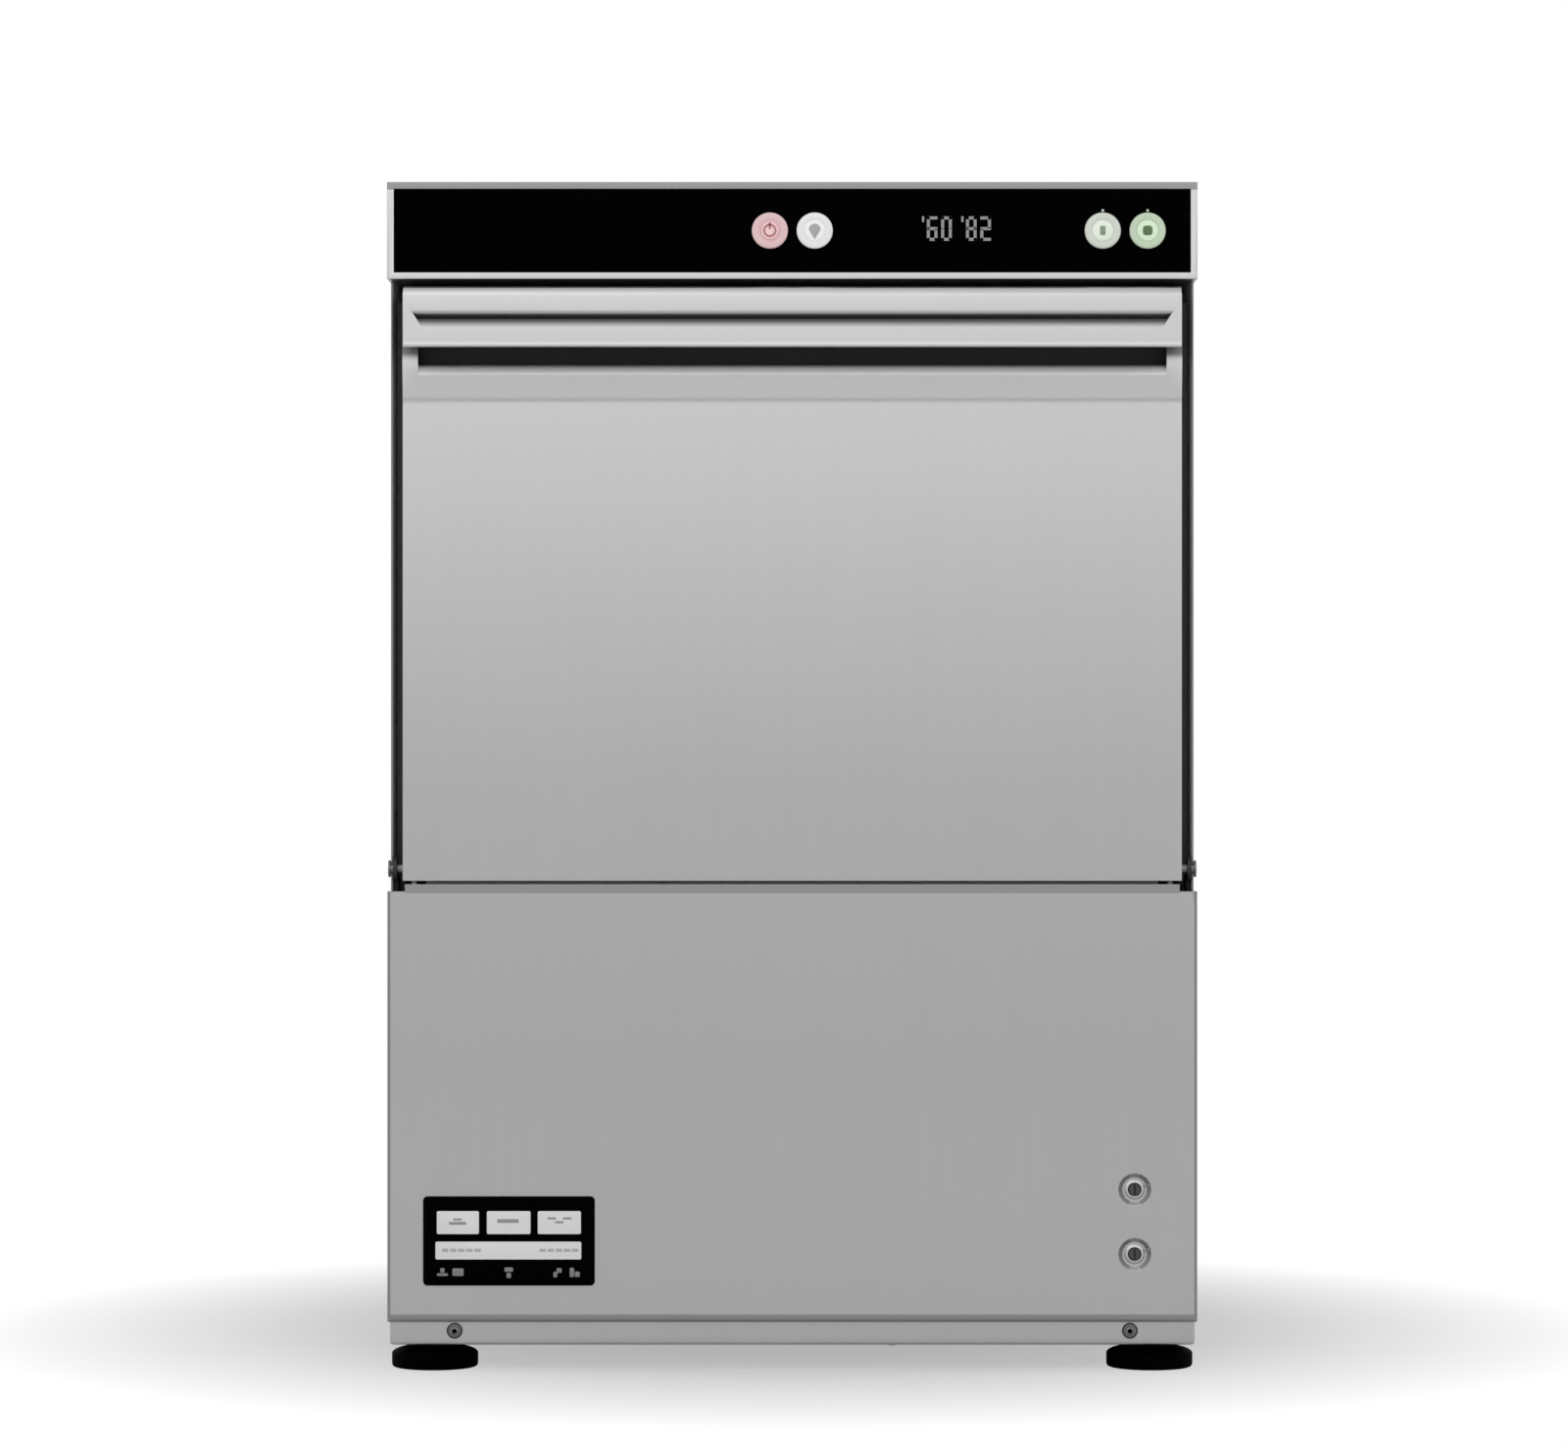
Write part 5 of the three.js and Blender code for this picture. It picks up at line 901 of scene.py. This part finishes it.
class WASHER_OT_fascia(bpy.types.Operator):
    """Dresses the control hood and its black glass, and sets the display's digits"""

    bl_idname = "washer.fascia"
    bl_label = "Control fascia"

    def execute(self, context):
        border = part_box("fascia_glass")[1].z / MM - 0.1
        hood = dressed(
            "control_hood", "hood_shell", "steel_across", "stainless", 0.5,
            shape=lambda piece: cut_across(piece, border),
        )
        # painted shade on the narrow fold above the glass
        fold_back = -255
        paint(hood, "mill", lambda at, way: at.z > border and way.y < -0.2 and at.y < fold_back)
        dressed("fascia_glass", "fascia_pane", "glass", "black_fascia", 0.3)
        self.set_display()
        return {"FINISHED"}

    def set_display(self):
        """Two pairs of seven-segment digits, each with a tick for degrees before it."""
        depth = sizes().mark / MM
        y = front("fascia_glass") - depth
        base = middle("fascia_glass")[2] + 1.2 - DIGIT_HEIGHT / 2
        gap, tick_width, tick_height = 0.12, 1.3, 3.4
        pieces = []
        for digit, left in (("6", 77.9), ("0", 86.2), ("8", 100.6), ("2", 108.9)):
            for bar in LIT[digit]:
                (x0, x1), (z0, z1) = BARS[bar]
                x = (left + x0 + gap, left + x1 - gap)
                z = (base + z0 + gap, base + z1 - gap)
                pieces.append(
                    tablet("bar", "digits", "cabinet", x, z, y, depth, 0.35, 0.02)
                )
        for left in (75.2, 98.0):
            x = (left, left + tick_width)
            z = (base + DIGIT_HEIGHT - tick_height, base + DIGIT_HEIGHT)
            pieces.append(tablet("tick", "digits", "cabinet", x, z, y, depth, 0.4, 0.02))
        joined(pieces, "display_digits")


class WASHER_OT_buttons(bpy.types.Operator):
    """Models the four buttons with their lenses, rings and marks"""

    bl_idname = "washer.buttons"
    bl_label = "Buttons"

    def execute(self, context):
        glass = front("fascia_glass")
        for node, finish, slot in (
            ("button_power", "pink", "pink_lens"),
            ("button_drain", "white", "white_plastic"),
            ("button_short_cycle", "pale", "pale_green_lens"),
            ("button_long_cycle", "green", "green_lens"),
        ):
            low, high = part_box(node)
            x, _, z = middle(node)
            face = low.y / MM
            body = NODES[node]["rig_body"]
            self.add_cap(node, body, finish, slot, x, z, face, high.y / MM)
            self.add_ring(node, x, glass, z)
            if node.endswith("cycle"):
                # a small lit tick above the button
                rise = 0.75
                tablet(
                    node + "_tick", finish + "_rim", "cabinet", (x - 0.7, x + 0.7),
                    (z + 11.0, z + 12.4), glass - rise, rise, 0.4, 0.05,
                )
            self.mark(node, body, x, z, face)
        return {"FINISHED"}

    def add_cap(self, node, body, finish, slot, x, z, face, back):
        """A button's cap: a guide at the back, a flange behind the glass and a lens in its rim."""
        flange, lens = -252.2, 6.1
        rise = flange - face
        profile = [
            (3.6, flange - back), (3.9, flange - back + 0.3), (4.0, -2.0), (12.3, -2.0), (12.5, -1.8),
            (12.5, -0.2), (12.3, 0), (10.5, 0), (10.5, rise - 0.75), (10.32, rise - 0.35),
            (9.9, rise - 0.1), (9.3, rise), (6.9, rise), (6.65, rise - 0.12), (6.5, rise - 0.45),
            (lens, rise - 0.45), (5.95, rise - 0.12), (5.7, rise - 0.03), (3.0, rise), (TIP, rise),
        ]
        cap = turned(node + "_cap", finish, body, (x, flange, z), "-Y", profile, sides=64)
        paint(cap, finish + "_rim", lambda at, way: math.hypot(at.x - x, at.z - z) > lens)
        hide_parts(node)

    def add_ring(self, node, x, glass, z):
        """The black ring round a button, on the glass."""
        hole, width = 10.72, sizes().bezel / MM
        profile = [
            (hole, 0), (hole, 0.45), (hole + 0.23, 0.7), (hole + width * 0.75, 0.6),
            (hole + width, 0.25), (hole + width, 0),
        ]
        turned(
            node + "_ring", "black", "cabinet", (x, glass, z), "-Y", profile, closed=True,
            sides=64,
        )

    def mark(self, node, body, x, z, face):
        """The plain generic mark on a button's face."""
        depth = sizes().mark / MM
        y = face - depth
        if node == "button_power":
            circles = [
                turned(
                    name, "red", body, (x, face, z), "-Y",
                    [(inner, 0), (inner, depth), (outer, depth), (outer, 0)], closed=True, sides=sides,
                )
                for name, inner, outer, sides in (
                    ("power_ring", 2.7, 3.9, 40),
                    ("power_outer_ring", 5.2, 5.5, 48),
                )
            ]
            bar = tablet("bar", "red", body, (x - 0.6, x + 0.6), (z + 0.6, z + 4.8), y, depth)
            joined([circles[0], bar], "power_mark")
        elif node == "button_drain":
            self.mark_drop(body, x, z + 0.6, face, depth)
        elif node == "button_short_cycle":
            limits, levels = (x - 1.6, x + 1.6), (z - 2.7, z + 2.7)
            tablet("short_cycle_mark", "fern", body, limits, levels, y, depth)
        else:
            limits, levels = (x - 2.8, x + 2.8), (z - 2.8, z + 2.8)
            tablet("long_cycle_mark", "moss", body, limits, levels, y, depth, 1.8)

    def mark_drop(self, body, x, z, face, depth):
        """A disc whose lower half is drawn down and narrowed to a drop."""
        piece = turned(
            "drain_mark", "pale_ink", body, (x, face, z), "-Y",
            [(3.4, 0), (3.4, depth * 0.6), (3.25, depth), (TIP, depth)], sides=32,
        )
        stretch, narrowing, narrowest = 0.6, 0.22, 0.75
        for point in piece.data.vertices:
            rise = point.co.z / MM - z
            if rise < 0:
                point.co.z += rise * stretch * MM
                point.co.x += (x * MM - point.co.x) * min(narrowest, -rise * narrowing)


# the level of the door's press line, and the y that its outer edges lie in front of
CREASE, CREASE_BACK = 563.2, -253.9
# the finger recess: half its width, its levels and its y behind the lip
RECESS_HALF = 217.3
RECESS_LOW, RECESS_HIGH = 583.9, 622.3
RECESS_FRONT, RECESS_BACK = -253, -239.4
# the recess's rounded lip: its levels and the y that it lies behind
LIP_LOW, LIP_HIGH, LIP_FRONT = 577.3, 584.3, -256.3
# the handle's groove: half its width, how far below the handle's top it starts, its height and depth,
# and the lip that turns into a narrow slot
GROOVE_HALF, GROOVE_DROP = 220, 13.8
GROOVE_HEIGHT, GROOVE_DEPTH = 9.4, 4.5
GROOVE_LIP, GROOVE_MOUTH, GROOVE_CURL = 5.4, 3.0, 3.0


class WASHER_OT_door(bpy.types.Operator):
    """Dresses the door: skin, handle, liner, hinge arms, brackets and pins"""

    bl_idname = "washer.door"
    bl_label = "Door"

    def execute(self, context):
        face = dressed(
            "door_skin", "door_face", "steel_door", "stainless", 0.5,
            shape=lambda piece: round_edges(
                piece, 1.3, lambda a, b: level_with(a, b, CREASE, 0.05) and max(a.y, b.y) < CREASE_BACK, 3
            ),
        )
        # painted light and shade on the finger recess's lip
        paint(
            face, "lip",
            lambda at, way: abs(at.x) < RECESS_HALF and LIP_LOW < at.z < LIP_HIGH
            and way.z > -0.05 and at.y > LIP_FRONT,
        )
        # painted shade: the inside of the finger recess in charcoal
        paint(
            face, "cup",
            lambda at, way: abs(at.x) < RECESS_HALF and RECESS_LOW < at.z < RECESS_HIGH
            and RECESS_FRONT < at.y < RECESS_BACK,
        )
        outer = front("door_handle")
        groove_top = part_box("door_handle")[1].z / MM - GROOVE_DROP
        bar = dressed(
            "door_handle", "handle_bar", "steel_handle", "stainless", 0.9, segments=3, smooth=24,
            shape=lambda piece: self.shape_groove(piece, outer, groove_top),
        )
        # painted shade in the handle's groove
        paint(
            bar, "groove",
            lambda at, way: 0.01 < at.y - outer < GROOVE_DEPTH + 0.3 and abs(at.x) < GROOVE_HALF
            and groove_top - GROOVE_HEIGHT - 0.1 < at.z < groove_top,
        )
        dressed("door_liner", "loading_shelf", "steel_across", "stainless", 0.6)
        for side in ("left", "right"):
            dressed("hinge_arm_" + side, "door_arm_" + side, "bright", "bright_steel", 0.3)
            dressed("hinge_bracket_" + side, "door_bracket_" + side, "dark", "dark_steel", 0.3)
            dressed("hinge_pin_" + side, "door_pin_" + side, "zinc", "bright_steel", 0.25)
        return {"FINISHED"}

    def shape_groove(self, piece, outer, top):
        """Turns the groove's slope into a rounded lip below a slot, and rounds the bar's long edges."""
        low = top - GROOVE_HEIGHT
        low_edge, high_edge = (limit.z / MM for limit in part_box("door_handle"))
        for level, radius in ((high_edge, 5.2), (low_edge, 1.5)):
            round_edges(
                piece, radius, lambda a, b: level_with(a, b, level) and max(a.y, b.y) < outer + NEAR
            )
        for share in (0.05, 0.17, 0.37, 0.63, 1.0):
            cut_across(
                piece, outer + GROOVE_CURL * share, (0, 1, 0),
                lambda at, way: way.z < -0.9 and abs(at.z - top) < 0.05 and abs(at.x) < GROOVE_HALF,
            )
        for share in (0.25, 0.5, 0.7, 0.85, 0.95, 1.0):
            cut_across(piece, low + GROOVE_LIP * share)
        for corner in piece.data.vertices:
            point = corner.co / MM
            slope = outer + GROOVE_DEPTH * (point.z - low) / GROOVE_HEIGHT
            if abs(point.x) >= GROOVE_HALF:
                continue
            if low < point.z < top - 0.1 and abs(point.y - slope) < 0.03:
                share = min(1.0, (point.z - low) / GROOVE_LIP)
                corner.co.y = (outer + GROOVE_MOUTH * (1 - math.sqrt(1 - share * share))) * MM
            elif abs(point.z - top) < NEAR and point.y < outer + GROOVE_DEPTH + 0.1:
                inside = min(GROOVE_CURL, point.y - outer)
                corner.co.z = (top - math.sqrt(inside * (2 * GROOVE_CURL - inside))) * MM


class WASHER_OT_springs(bpy.types.Operator):
    """Winds the two balance springs and their hooks"""

    bl_idname = "washer.springs"
    bl_label = "Balance springs"

    def execute(self, context):
        wire, pitch = sizes().wire / MM, sizes().pitch / MM
        # outer radius of the coil, how far it ends from the hooks' ends, and the hooks' radius and place
        coil_radius, coil_inset, hook_radius, hook_inset = 6, 11.5, 4.5, 5.4
        overlap = 1
        for side in ("left", "right"):
            node = "balance_spring_" + side
            low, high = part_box(node)
            x, y, _ = middle(node)
            start = low.z / MM + coil_inset
            end = high.z / MM - coil_inset
            deselect()
            bpy.ops.mesh.primitive_circle_add(
                vertices=8, radius=wire / 2 * MM, location=((coil_radius - wire / 2) * MM, 0, 0),
                rotation=(math.pi / 2, 0, 0), fill_type="NOTHING",
            )
            coil = context.object
            bpy.ops.object.transform_apply(location=True, rotation=True)
            wind = coil.modifiers.new("Wind", "SCREW")
            wind.axis = "Z"
            wind.screw_offset = pitch * MM
            wind.iterations = int((end - start) / pitch)
            wind.steps = 14
            wind.render_steps = 14
            wind.use_normal_calculate = True
            apply_all(coil)
            coil.location = (x * MM, y * MM, start * MM)
            bpy.ops.object.transform_apply(location=True)
            parts = [coil]
            for z, top in (
                (low.z / MM + hook_inset, start + overlap),
                (high.z / MM - hook_inset, end - overlap),
            ):
                bpy.ops.mesh.primitive_torus_add(
                    major_radius=hook_radius * MM, minor_radius=wire / 2 * MM, major_segments=32,
                    minor_segments=8, location=(x * MM, y * MM, z * MM), rotation=(0, math.pi / 2, 0),
                )
                parts.append(context.object)
                foot, head = (z + hook_radius, top) if top > z else (top, z - hook_radius)
                bpy.ops.mesh.primitive_circle_add(
                    vertices=8, radius=wire / 2 * MM, fill_type="NGON", location=(x * MM, y * MM, foot * MM)
                )
                parts.append(context.object)
                draw_out(context.object, (0, 0, head - foot))
            piece = joined(parts, "wound_spring_" + side)
            with editing(piece):
                bpy.ops.mesh.fill_holes(sides=8)
                bpy.ops.mesh.normals_make_consistent(inside=False)
            set_down(piece, "wound_spring_" + side, "bright", "cabinet", 50)
            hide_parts(node)
        return {"FINISHED"}


class WASHER_OT_plate(bpy.types.Operator):
    """Dresses the instruction plate and prints its plain keys and marks"""

    bl_idname = "washer.plate"
    bl_label = "Instruction plate"

    def execute(self, context):
        dressed("info_plate", "instruction_plate", "plate", "plate_black", 0.2)
        depth = sizes().mark / MM
        on_plate = front("info_plate") - depth
        on_keys = on_plate - depth
        # three keys above one wide bar
        keys = [(span, (79.9, 93.2)) for span in ((-206.0, -181.6), (-177.0, -151.7), (-147.5, -122.5))]
        keys.append(((-206.8, -122.3), (65.2, 75.5)))
        printed("plate_keys", "print", keys, on_plate, 0.9, 0.03)
        key_marks = (
            ((-199.0, -189.0), (85.3, 87.0)), ((-196.5, -191.5), (87.8, 89.0)),
            ((-171.0, -158.6), (86.4, 88.6)),
            ((-142.0, -137.0), (88.4, 89.6)), ((-133.0, -128.0), (88.4, 89.6)),
            ((-137.5, -132.5), (86.2, 87.4)),
        )
        printed("plate_key_marks", "ink", key_marks, on_keys, 0.4)
        # two groups of five marks on the wide bar
        width, step = 3.7, 4.7
        lefts = [first + i * step for first in (-203.0, -146.5) for i in range(5)]
        rows = [((left, left + width), (69.6, 71.4)) for left in lefts]
        printed("plate_row_marks", "pale_ink", rows, on_keys, 0.3)
        foot_marks = (
            ((-206.0, -199.5), (55.6, 57.2)), ((-204.0, -201.5), (57.6, 60.2)),
            ((-197.0, -190.5), (55.6, 60.0)),
            ((-166.8, -161.8), (58.0, 60.6)), ((-165.6, -163.0), (54.4, 57.4)),
            ((-138.5, -136.2), (54.8, 58.0)), ((-136.6, -133.6), (57.4, 60.2)),
            ((-129.0, -126.4), (55.0, 60.4)), ((-126.0, -123.2), (55.0, 58.2)),
        )
        printed("plate_foot_marks", "faint", foot_marks, on_plate, 0.7)
        return {"FINISHED"}


class WASHER_OT_adjusters(bpy.types.Operator):
    """Dresses the two dosing adjusters and adds their collars and stop pins"""

    bl_idname = "washer.adjusters"
    bl_label = "Dosing adjusters"

    def execute(self, context):
        panel = front("lower_front_panel")
        # how deep the dish holds the collar, and where the stop pin stands beside the stem
        dish, stop_across, stop_up, stop_depth = 2.35, 7.6, 2.6, 1.9
        for kind in ("detergent", "rinse_aid"):
            node = "adjuster_" + kind
            x, _, z = middle(node)
            dressed(
                node, node + "_stem", "stem", "grey_plastic", 0.5,
                shape=lambda piece: self.slim_stem(piece, x, z, panel + 2),
            )
            turned(
                node + "_collar", "steel", "cabinet", (x, panel + dish, z), "-Y",
                [(3.75, 0), (3.75, 0.4), (3.95, 0.6), (4.9, 0.6), (5.5, 0.3), (5.9, 0)], closed=True,
            )
            turned(
                node + "_stop", "zinc", "cabinet",
                (x + stop_across, panel + stop_depth, z + stop_up), "-Y",
                [(1.4, -0.4), (1.4, 1.3), (1.1, 1.6), (TIP, 1.6)], sides=20,
            )
        return {"FINISHED"}

    def slim_stem(self, piece, x, z, limit):
        """Turns the stem's exposed end down to its finished width."""
        taken_off = 0.16
        for corner in piece.data.vertices:
            if corner.co.y / MM < limit:
                corner.co.x += (x * MM - corner.co.x) * taken_off
                corner.co.z += (z * MM - corner.co.z) * taken_off


class WASHER_OT_feet(bpy.types.Operator):
    """Turns the four levelling feet with their threaded studs"""

    bl_idname = "washer.feet"
    bl_label = "Levelling feet"

    def execute(self, context):
        thread_start, thread_pitch = 15.2, 1.5
        for name in ("front_left", "front_right", "rear_left", "rear_right"):
            node = "foot_" + name
            x, y, _ = middle(node)
            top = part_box(node)[1].z / MM
            profile = [
                (23.2, 0), (24.4, 0.4), (25.1, 1.4), (25.2, 2.6), (25.2, 7.8), (24.9, 8.8), (23.6, 9.9),
                (21.6, 10.8), (18.6, 11.6), (14.8, 12.4), (10.6, 13.3), (8.9, 13.8), (8.6, 14.7),
                (4.9, 14.7),
            ]
            z = thread_start
            while z < top - 1.6:
                profile += [(4.35, z + 0.35), (4.95, z + 0.75)]
                z += thread_pitch
            profile += [(4.4, top - 0.5), (3.9, top), (TIP, top)]
            pad = turned(
                node + "_pad", "black", NODES[node]["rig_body"], (x, y, 0), "Z", profile,
                sides=72, smooth=45,
            )
            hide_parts(node)
        return {"FINISHED"}


class WASHER_OT_screws(bpy.types.Operator):
    """Sets the plinth, rear and side screws, the bonding stud with its nut, and the earth screw's end"""

    bl_idname = "washer.screws"
    bl_label = "Screws"

    def execute(self, context):
        tray = front("base_tray")
        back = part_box("rear_panel")[1].y / MM
        for side, x in (("left", -196.0), ("right", 196.0)):
            self.add_plinth_screw(side, x, tray, 23.3)
        for side, x in (("left", -225), ("right", 225)):
            for z in (56.6, 358.8, 661):
                socket_screw(f"rear_screw_{side}_{int(z)}", "cabinet", (x, back, z), "Y", 3.2)
        # three screws along the foot of each side panel, named by how far behind the first they are
        first, level = -205, 38.5
        for side, x, axis in (("left", -233.5, "-X"), ("right", 233.5, "X")):
            for run in (0, 220, 440):
                turned(
                    f"side_screw_{side}_{run}", "bright", "cabinet",
                    (x, first + run, level), axis,
                    [(4.4, 0), (4.4, 0.3), (4.1, 0.6), (3.2, 0.85), (1.5, 0.95), (1.5, 0.1), (TIP, 0.1)],
                    sides=36,
                )
        stud = (102, back, 65)
        turned(
            "bonding_stud", "brass", "cabinet", stud, "Y",
            [(6.0, 0), (6.0, 1.2), (3.0, 1.2), (3.0, 12.5), (2.5, 13.2), (TIP, 13.2)], sides=36,
        )
        turned(
            "bonding_nut", "zinc", "cabinet", stud, "Y",
            [(3.1, 1.2), (5.4, 1.2), (5.6, 1.6), (5.6, 5.4), (5.2, 5.8), (3.1, 5.8)], closed=True, sides=6,
            smooth=20,
        )
        turned(
            "earth_screw_end", "bright", "cabinet", (58, -238, 15.2), "Z",
            [(1.6, -1.9), (2.0, -1.5), (2.0, 0.2), (TIP, 0.2)], sides=24,
        )
        return {"FINISHED"}

    def add_plinth_screw(self, side, x, tray, z):
        """A screw with its socket painted black as painted shade, in a round seat painted dark as the
        painted shade of its hole, on the plinth's front.
        """
        socket_radius, head_rise = 1.65, 2.0
        screw = socket_screw("plinth_screw_" + side, "cabinet", (x, tray, z), "-Y", 2.9, "zinc", 0.56)
        # painted shade: the inside of the socket in black
        paint(
            screw, "black",
            lambda at, way: math.hypot(at.x - x, at.z - z) < socket_radius and at.y > tray - head_rise,
        )
        # painted shade: the dark seat round the screw stands for its hole's shade
        turned(
            "plinth_screw_seat_" + side, "dark", "cabinet", (x, tray, z), "-Y",
            [(3.6, 0.02), (3.6, 0.5), (3.8, 0.6), (4.3, 0.6), (4.6, 0.3), (4.6, 0.02)],
            closed=True, sides=40,
        )


# inner pieces that are only dressed: node, name, finish, slot and, but for the works, radius of the edges
TANK_PIECES = (
    ("wash_tank", "tank_shell", "tank", "stainless", 0.5),
    ("tank_back_wall", "tank_rear_sheet", "tank", "stainless", 0.3),
)
CHAMBER_PIECES = (
    ("door_seal", "seal_profile", "rubber", "rubber", 1.2),
    ("door_switch", "switch_body", "black", "black_plastic", 0.3),
    ("rack_guide_left", "rack_rail_left", "steel", "stainless", 0.4),
    ("rack_guide_right", "rack_rail_right", "steel", "stainless", 0.4),
    ("tank_filter", "filter_tray", "steel", "stainless", 0.25),
    ("standpipe", "overflow_pipe", "grey", "grey_plastic", 0.3),
    ("upper_manifold", "upper_feed", "steel", "stainless", 0.4),
    ("lower_manifold", "lower_feed", "steel", "stainless", 0.4),
    ("wash_riser", "riser_hose", "rubber", "rubber", 0.3),
    ("upper_wash_arm", "upper_wash_blade", "steel_across", "stainless", 0.5),
    ("upper_rinse_arm", "upper_rinse_tube", "bright", "bright_steel", 0.3),
    ("lower_wash_arm", "lower_wash_blade", "steel_across", "stainless", 0.5),
    ("lower_rinse_arm", "lower_rinse_tube", "bright", "bright_steel", 0.3),
)
WORKS_PIECES = (
    ("control_board", "switch_board", "board", "circuit_board"),
    ("wash_pump_volute", "pump_volute", "grey", "grey_plastic"),
    ("wash_pump_motor", "pump_motor", "motor", "motor_paint"),
    ("pump_impeller", "impeller", "black", "black_plastic"),
    ("rinse_boiler", "boiler_jacket", "jacket", "boiler_jacket"),
    ("tank_element", "element_tube", "bright", "bright_steel"),
    ("drain_pump", "drain_pump_body", "grey", "grey_plastic"),
    ("inlet_valve", "inlet_coupling", "brass", "brass"),
    ("cable_gland", "cord_gland", "black", "black_plastic"),
    ("dosing_pump_detergent", "dosing_body_detergent", "grey", "grey_plastic"),
    ("dosing_pump_rinse_aid", "dosing_body_rinse_aid", "grey", "grey_plastic"),
    ("dosing_rotor_detergent", "dosing_wheel_detergent", "natural", "white_plastic"),
    ("dosing_rotor_rinse_aid", "dosing_wheel_rinse_aid", "natural", "white_plastic"),
    ("power_tray", "contactor_tray", "steel", "stainless"),
)


class WASHER_OT_chamber(bpy.types.Operator):
    """Dresses the wash chamber: tank, seal, rails, filter, manifolds, arms and standpipe"""

    bl_idname = "washer.chamber"
    bl_label = "Wash chamber"

    def execute(self, context):
        dress_all(TANK_PIECES)
        self.add_gap_trims()
        dress_all(CHAMBER_PIECES)
        return {"FINISHED"}

    def add_gap_trims(self):
        """Rubber edge strips on the tank's front flange, seen in the gaps beside the door; their dark grey
        is painted shade of the gaps.
        """
        low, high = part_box("wash_tank")
        foot, thick = 262.0, 1.1
        for side, limits in (("left", (-231.9, -226.8)), ("right", (226.8, 231.9))):
            tablet(
                "gap_trim_" + side, "trim", "cabinet", limits, (foot, high.z / MM),
                low.y / MM - thick, thick, 0.5, 0.3,
            )


class WASHER_OT_works(bpy.types.Operator):
    """Dresses the works below and behind the chamber"""

    bl_idname = "washer.works"
    bl_label = "Pumps and controls"

    def execute(self, context):
        dress_all(WORKS_PIECES)
        return {"FINISHED"}


class WASHER_PT_pieces(bpy.types.Panel):
    """Lists the washer's steps, colours and sizes"""

    bl_label = "Glass Washer"
    bl_idname = "WASHER_PT_pieces"
    bl_space_type = "VIEW_3D"
    bl_region_type = "UI"
    bl_category = "Washer"

    def draw(self, context):
        column = self.layout.column(align=True)
        for operator in STEPS:
            column.operator(operator.bl_idname)
        for group in (colours(), sizes()):
            box = self.layout.box()
            for key in group.__annotations__:
                box.prop(group, key)


STEPS = (
    WASHER_OT_stage,
    WASHER_OT_cabinet,
    WASHER_OT_fascia,
    WASHER_OT_buttons,
    WASHER_OT_door,
    WASHER_OT_springs,
    WASHER_OT_plate,
    WASHER_OT_adjusters,
    WASHER_OT_feet,
    WASHER_OT_screws,
    WASHER_OT_chamber,
    WASHER_OT_works,
)
CLASSES = (WasherColours, WasherSizes) + STEPS + (WASHER_PT_pieces,)


def register():
    """Adds the washer's classes and its two groups of properties."""
    for item in CLASSES:
        bpy.utils.register_class(item)
    bpy.types.Scene.washer_colours = bpy.props.PointerProperty(type=WasherColours)
    bpy.types.Scene.washer_sizes = bpy.props.PointerProperty(type=WasherSizes)


def unregister():
    """Takes away what register adds."""
    del bpy.types.Scene.washer_sizes
    del bpy.types.Scene.washer_colours
    for item in reversed(CLASSES):
        bpy.utils.unregister_class(item)


def main():
    """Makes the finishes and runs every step."""
    register()
    FINISH.update(make_materials())
    bpy.ops.washer.stage()
    bpy.ops.washer.cabinet()
    bpy.ops.washer.fascia()
    bpy.ops.washer.buttons()
    bpy.ops.washer.door()
    bpy.ops.washer.springs()
    bpy.ops.washer.plate()
    bpy.ops.washer.adjusters()
    bpy.ops.washer.feet()
    bpy.ops.washer.screws()
    bpy.ops.washer.chamber()
    bpy.ops.washer.works()


if __name__ == "__main__":
    main()
